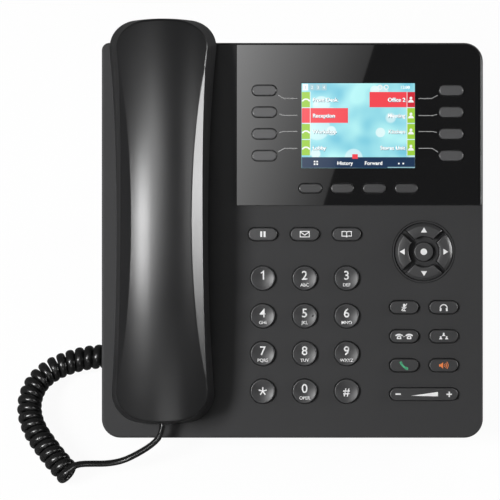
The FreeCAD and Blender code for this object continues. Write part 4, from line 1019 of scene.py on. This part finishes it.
# %% Dial key signs
LETTERS = {"0": "OPER", "2": "ABC", "3": "DEF", "4": "GHI", "5": "JKL", "6": "MNO", "7": "PQRS", "8": "TUV",
           "9": "WXYZ"}
FIGURE_TALL, LETTER_TALL, HASH_TALL = 4.6, 1.65, 4.2
FIGURE_RISE, LETTER_DROP = 1.6, 3.3
FIGURE_BOLD, LETTER_BOLD = 0.012, 0.02
FIGURE_ONE = ((0.0, -2.3), (0.7, -2.3), (0.7, 2.3), (0.2, 2.3), (-0.25, 1.7), (-1.0, 1.3), (-1.0, 0.65),
              (-0.45, 0.9), (0.0, 1.25))
# Reach and thickness of the star's arms, and how far out they meet as a share of the thickness
STAR_ARMS, STAR_REACH, STAR_THICK, STAR_MEET = 5, 2.15, 0.62, 0.8


def star():
    """Arms of one width round a point."""
    loop = []
    for k in range(STAR_ARMS):
        a = math.pi / 2 + 2 * math.pi * k / STAR_ARMS
        b = a + math.pi / STAR_ARMS
        across = Vector((-math.sin(a), math.cos(a))) * STAR_THICK / 2
        tip = Vector((math.cos(a), math.sin(a))) * STAR_REACH
        meet = Vector((math.cos(b), math.sin(b))) * STAR_THICK * STAR_MEET
        loop += [tuple(tip - across), tuple(tip + across), tuple(meet)]
    return loop


def on_key(name, key, meshes, x, y, colour=white_ink, cap=None):
    """Sign on a key, or on the cap over it, that moves with the key."""
    return laid(name, meshes, x, y, surface_of(cap or nodes[key]), nodes[key]["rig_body"], colour)


for key, (x, y) in dial_place.items():
    if key == "star":
        signs = separate(star())
    elif key == "hash":
        signs = [words("#", HASH_TALL, bold=FIGURE_BOLD)]
    elif key == "1":
        signs = separate([(px, py + FIGURE_RISE) for px, py in FIGURE_ONE])
    else:
        signs = [words(key, FIGURE_TALL, 0, FIGURE_RISE, bold=FIGURE_BOLD)]
    if key in LETTERS:
        signs.append(words(LETTERS[key], LETTER_TALL, 0, -LETTER_DROP, bold=LETTER_BOLD))
    on_key(f"sign_dial_{key}", f"dial_key_{key}", signs, x, y, cap=dial_cap[key])
print("dial signs", len(dial_place))

# %% [markdown]
# ## Function keys
# The pill keys carry plain signs: pause, letter, book, microphone, headphones, two phones, three people, a
# green receiver and an orange loudspeaker. Each is a handful of discs, bars and arcs.

# %% Small signs that come more than once
def phone_sign(x):
    """Small desk phone: receiver over a sloping body."""
    body = [(x - 1.0, -1.4), (x + 1.0, -1.4), (x + 1.25, -0.9), (x + 0.65, 0.45), (x - 0.65, 0.45),
            (x - 1.25, -0.9)]
    arch = band(x, -1.3, 2.65, 1.95, 48, 132, 8)
    ends = [block(x + side * 1.45, 0.45, 0.85, 0.7, 0.15) for side in (-1, 1)]
    return [filled([body, disc(x, -0.55, 0.45, 14)])] + separate(arch, *ends)


def person_sign(x, y):
    """Head over shoulders."""
    return separate(disc(x, y + 0.62, 0.46, 16), band(x, y - 0.55, 0.82, 0.01, 0, 180, 10))


print("phone and person drawn")


# %% Signs of the pill keys
def pill_signs():
    """Meshes of every pill key's sign."""
    envelope = [block(0, 0, 5.0, 3.2), [(-1.95, 1.2), (1.95, 1.2), (0, -0.2)],
                [(-2.1, 0.75), (0, -0.75), (2.1, 0.75), (2.1, -1.2), (-2.1, -1.2)]]
    cover = [(-2.6, 1.55), (-0.45, 1.55), (0, 1.3), (0.45, 1.55), (2.6, 1.55), (2.6, -1.2), (0.55, -1.2),
             (0, -1.7), (-0.55, -1.2), (-2.6, -1.2)]
    page = ((2.2, 1.15), (0.6, 1.15), (0.24, 0.95), (0.24, -0.8), (2.2, -0.8))
    book = [cover] + [[(side * px, py) for px, py in page] for side in (-1, 1)]
    pointer = separate([(-0.3, -0.45), (-0.3, 0.25), (0.4, -0.1)])
    horn = [(-2.3, 0.6), (-1.5, 0.6), (-0.3, 1.6), (-0.3, -1.6), (-1.5, -0.6), (-2.3, -0.6)]
    return {
        "hold_key": separate(block(-0.8, 0, 1.0, 2.9), block(0.9, 0, 1.0, 2.9)),
        "message_key": [filled(envelope)],
        "directory_key": [filled(book)],
        "mute_key": separate(block(0, 0.75, 1.15, 2.1, 0.55), band(0, 0.45, 1.25, 0.9, 190, 350),
                             block(0, -1.25, 0.4, 0.75), block(0, -1.75, 1.7, 0.36),
                             block(0.1, 0.15, 4.5, 0.42, 0, 52)),
        "headset_key": separate(band(0, -0.35, 2.0, 1.5, -12, 192), block(-1.55, -1.15, 0.95, 1.6, 0.3, -8),
                                block(1.55, -1.15, 0.95, 1.6, 0.3, 8)),
        "transfer_key": phone_sign(-2.55) + phone_sign(2.55) + pointer,
        "conference_key": person_sign(0, 0.75) + person_sign(-1.5, -0.95) + person_sign(1.5, -0.95),
        "send_key": separate(band(2.6, 2.5, 4.7, 3.75, 194, 256, 12), block(-1.5, 1.25, 1.25, 1.5, 0.3, 20),
                             block(1.3, -1.55, 1.25, 1.5, 0.3, -110)),
        "speaker_key": separate(horn, *[band(-0.3, 0, r + 0.32, r, -42, 42) for r in (0.8, 1.6, 2.4)]),
    }


PILL_INK = {"send_key": green_ink, "speaker_key": orange_ink}
for key, signs in pill_signs().items():
    on_key(f"sign_{key}", key, signs, *PILL_SIGN[key], PILL_INK.get(key, white_ink))
print("pill signs", len(PILL_SIGN))

# %% Signs of the rocker and the navigation keys
VOLUME_Y = 22.2
ARROW = ((-1.55, 9.75), (1.55, 9.75), (0, 12.3))
minus = block(-13.0, 0.1, 2.7, 0.75)
wedge = [(-6.6, -0.75), (7.1, -1.05), (7.1, 1.2)]
plus = [block(12.8, 0, 2.8, 0.72), block(12.8, 0.88, 0.72, 1.04), block(12.8, -0.88, 0.72, 1.04)]
on_key("sign_volume", "volume_key", separate(minus, wedge, *plus), FUNCTION_X, VOLUME_Y)
for key, turn in ARROW_KEYS.items():
    c, s = math.cos(math.radians(turn)), math.sin(math.radians(turn))
    arrow = [(px * c - py * s, px * s + py * c) for px, py in ARROW]
    on_key(f"sign_{key}", key, separate(arrow), FUNCTION_X, NAV_Y, cap=nav_crowns[key])
on_key("sign_nav_ok", "nav_ok_key", separate(disc(0, 0, 1.65)), FUNCTION_X, NAV_Y)
print("rocker and navigation signs laid")

# %% [markdown]
# ## The display
# A colour screen sits behind the glossy surround. It makes its own light, so its picture is emission under a
# mirror-smooth cover. Tabs and bars are layers less than a hair apart over a wallpaper of soft discs.

# %% Lines from the keys to the screen
# Millimetres of the face in a pixel of the photograph's frame, and the pixel of the face's origin
PIXEL, ORIGIN_X, ORIGIN_Y = 0.5059, 292.4, 438.0
LEADER_WIDE = 0.42


def at_pixel(px, py):
    """Millimetres on the face from a pixel of the photograph's frame."""
    return (px - ORIGIN_X) * PIXEL, (ORIGIN_Y - py) * PIXEL


LEADERS = (((278.1, 95.2), (283.9, 98.5), (297.2, 98.5)), ((279.4, 114.2), (283.1, 115.4), (297.2, 115.4)),
           ((279.4, 132.8), (283.1, 131.5), (297.2, 131.5)), ((278.1, 151.9), (284.4, 148.4), (297.2, 148.4)),
           ((418.5, 98.6), (431.5, 98.6), (437.6, 95.3)), ((418.5, 115.6), (432.6, 115.6), (436.8, 114.4)),
           ((418.5, 131.6), (432.6, 131.6), (436.8, 132.6)), ((418.5, 148.4), (432.0, 148.4), (437.9, 152.0)))
panel_top = surface_of(nodes["display_panel"])
lines = separate(*[strip([at_pixel(*point) for point in leader], LEADER_WIDE) for leader in LEADERS])
laid("panel_lines", lines, 0, 0, panel_top, "base", line_ink)
print("leader lines", len(LEADERS))

# %% Light of the screen
COVER = {"Base Color": (0.005, 0.005, 0.005, 1), "Roughness": 0.05, "IOR": 2.0, "Emission Strength": 1.0}
GROUND = ((0.19, 0.59, 0.74), (0.48, 0.92, 0.93))
DISC_LIGHT = (0.82, 0.97, 0.97)
# Spacing in millimetres, edge as a share of it, and strength of each layer of discs
DISCS = ((26.0, 0.27, 0.5), (18.0, 0.27, 0.6), (12.0, 0.22, 0.8))
DISC_SOFT = 0.04


def lit(name, colour):
    """Part of the screen's picture in one colour, with the faint grid of its dots."""
    finish = Finish(name)
    dots = finish.noise(finish.place(), 0.2, 0.0)
    dim = [c * 0.94 for c in colour]
    return finish.surface({**COVER, "Emission Color": finish.between(dots, dim, colour)})


def wallpaper():
    """Cyan ground with soft round lights scattered over it."""
    finish = Finish("screen_wallpaper")
    where = finish.place()
    drift = finish.spread(finish.noise(where, 14.0, 1.0), 0.35, 0.65)
    colour = finish.between(drift, *GROUND)
    for size, edge, strength in DISCS:
        cells = {"Vector": where, "Scale": 1 / (size * MM), "Randomness": 1.0}
        away = finish.node("ShaderNodeTexVoronoi", {}, cells)
        round_light = finish.spread(away, edge, edge - DISC_SOFT, 0.0, strength, "SMOOTHSTEP")
        colour = finish.between(round_light, colour, DISC_LIGHT)
    return finish.surface({**COVER, "Emission Color": colour})


SCREEN_X, SCREEN_Y, SCREEN_WIDE, SCREEN_TALL = 33.3, 158.0, 57.6, 43.2
SCREEN_EDGE = 0.3
# Height of the picture over the glass, and of each layer over the last
PICTURE_PROUD, LAYER = 0.02, 0.012
glass = surface_of(nodes["lcd_module"])
picture = separate(block(0, 0, SCREEN_WIDE - SCREEN_EDGE, SCREEN_TALL - SCREEN_EDGE))
laid("screen_picture", picture, SCREEN_X, SCREEN_Y, glass, "base", wallpaper(), PICTURE_PROUD)
print("wallpaper made")

# %% Tabs and bars
LEFT_END, LEFT_TAB, RIGHT_TAB, RIGHT_END = 301.8, 310.2, 407.0, 414.8
TAB_ROWS = ((92.0, 107.3), (108.1, 122.9), (124.0, 139.0), (140.0, 155.4))
PAGE_STEP = 6.0
GREEN, RED, DEEP_RED = (0.35, 0.64, 0.05), (0.93, 0.065, 0.085), (0.66, 0.022, 0.040)
NAVY, PALE = (0.010, 0.034, 0.088), (0.95, 0.97, 0.97)
SHADE, MIST = (0.10, 0.27, 0.33), (0.36, 0.62, 0.70)


def between_pixels(x0, y0, x1, y1):
    """Filled rectangle from two corners in pixels of the photograph's frame."""
    (a, b), (c, d) = at_pixel(x0, y0), at_pixel(x1, y1)
    return filled([[(a, d), (c, d), (c, b), (a, b)]])


def on_screen(name, meshes, colour, layer):
    """Part of the picture on a layer over the wallpaper."""
    proud = PICTURE_PROUD + LAYER * layer
    return laid(name, meshes, 0, 0, glass, "base", lit(name + "_light", colour), proud)


def tab(row, left, right):
    """Bar of one row between two pixels."""
    return between_pixels(left, TAB_ROWS[row][0], right, TAB_ROWS[row][1])


left_tabs = [tab(row, LEFT_END, LEFT_TAB) for row in (0, 2, 3)]
right_tabs = [tab(row, RIGHT_TAB, RIGHT_END) for row in (1, 2, 3)]
on_screen("screen_tabs", left_tabs + right_tabs, GREEN, 1)
badge = between_pixels(352.2, 154.2, 357.8, 158.8)
on_screen("screen_alerts", [tab(1, LEFT_END, 348.0), tab(0, 369.5, RIGHT_TAB), badge], RED, 2)
on_screen("screen_alert_tab", [tab(0, RIGHT_TAB, RIGHT_END)], DEEP_RED, 2)
on_screen("screen_soft_bar", [between_pixels(LEFT_END, 157.2, RIGHT_END, 168.0)], NAVY, 1)
pages = [between_pixels(309.4 + PAGE_STEP * k, 84.2, 314.6 + PAGE_STEP * k, 90.4) for k in range(3)]
on_screen("screen_pages", pages + [between_pixels(387.5, 167.0, RIGHT_END, 167.7)], MIST, 2)
print("tabs", len(left_tabs + right_tabs))

# %% Words of the screen
LEFT_WORDS = ("Front Desk", "Reception", "Workshop", "Lobby")
RIGHT_WORDS = ("Office 2", "Meeting", "Kitchen", "Stores Unit")
NAME_TALL, SOFT_TALL, STATUS_TALL = 2.0, 1.9, 1.6
WORD_BOLD, SHADE_BOLD, SHADE_ASIDE = 0.02, 0.05, 0.35
LEFT_NAMES, RIGHT_NAMES = 312.6, 405.2


def label(text, px, py, tall, align="CENTER", bold=0.0):
    """Lettering round a pixel."""
    x, y = at_pixel(px, py)
    return words(text, tall, x, y, align, bold)


def names(aside, bold):
    """The eight names, a little aside for their shade."""
    made = []
    for column, px, align in ((LEFT_WORDS, LEFT_NAMES, "LEFT"), (RIGHT_WORDS, RIGHT_NAMES, "RIGHT")):
        for text, (low, high) in zip(column, TAB_ROWS):
            made.append(label(text, px + aside, (low + high) / 2 + aside, NAME_TALL, align, bold))
    return made


print("names", len(LEFT_WORDS + RIGHT_WORDS))

# %% Signs of the screen
RECEIVERS, PEOPLE = 306.0, 410.9
ALERT_ROW = 1
STATUS_ROW, SOFT_ROW, DOT_ROW = 87.3, 163.0, 163.6


def tab_signs():
    """A lying receiver at the left of each row but the alert's, and a person at the right of each."""
    loops = []
    for row, (low, high) in enumerate(TAB_ROWS):
        x, y = at_pixel(RECEIVERS, (low + high) / 2)
        if row != ALERT_ROW:
            ends = [block(x + side * 1.6, y - 0.5, 0.9, 0.8, 0.2, side * -40) for side in (-1, 1)]
            loops += [band(x, y - 1.9, 2.5, 1.75, 42, 138), *ends]
        x, y = at_pixel(PEOPLE, (low + high) / 2)
        loops += [disc(x, y + 0.75, 0.72, 18), band(x, y - 1.45, 1.45, 0.01, 0, 180, 14)]
    return separate(*loops)


def soft_signs():
    """Menu squares, two words and two dots over the soft keys."""
    menu = [block(*at_pixel(px, py), 0.85, 0.85, 0.2) for px in (314.6, 317.2) for py in (161.6, 164.2)]
    more = [disc(*at_pixel(px, DOT_ROW), 0.45, 14) for px in (398.8, 403.2)]
    made = separate(*menu, *more)
    for text, px in (("History", 345.0), ("Forward", 373.5)):
        made.append(label(text, px, SOFT_ROW, SOFT_TALL, bold=WORD_BOLD))
    return made


def status_signs():
    """Two rings, the page numbers, the time and the plate of the first page."""
    spots = [at_pixel(px, STATUS_ROW) for px in (380.0, 386.2)]
    rings = [filled([disc(*spot, 1.25, 20), disc(*spot, 0.8, 20)]) for spot in spots]
    numbers = [label(str(k + 2), 312.0 + PAGE_STEP * k, STATUS_ROW, STATUS_TALL) for k in range(3)]
    clock = label("12:00", 405.0, STATUS_ROW, STATUS_TALL, bold=WORD_BOLD)
    return rings + numbers + [clock, between_pixels(302.6, 84.0, 308.2, 90.5)]


rules = [between_pixels(x - 0.25, 91.6, x + 0.25, 155.8) for x in (LEFT_TAB, RIGHT_TAB)]
for y in (107.7, 123.4, 139.5):
    for left, right in ((LEFT_END, LEFT_TAB), (RIGHT_TAB, RIGHT_END)):
        rules.append(between_pixels(left, y - 0.2, right, y + 0.2))
on_screen("screen_rules", rules, PALE, 3)
on_screen("screen_shade", names(SHADE_ASIDE, SHADE_BOLD), SHADE, 2.6)
on_screen("screen_words", names(0.0, WORD_BOLD) + tab_signs() + soft_signs() + status_signs(), PALE, 4)
on_screen("screen_page_one", [label("1", 305.4, STATUS_ROW, STATUS_TALL)], MIST, 5)
print("screen signs made")
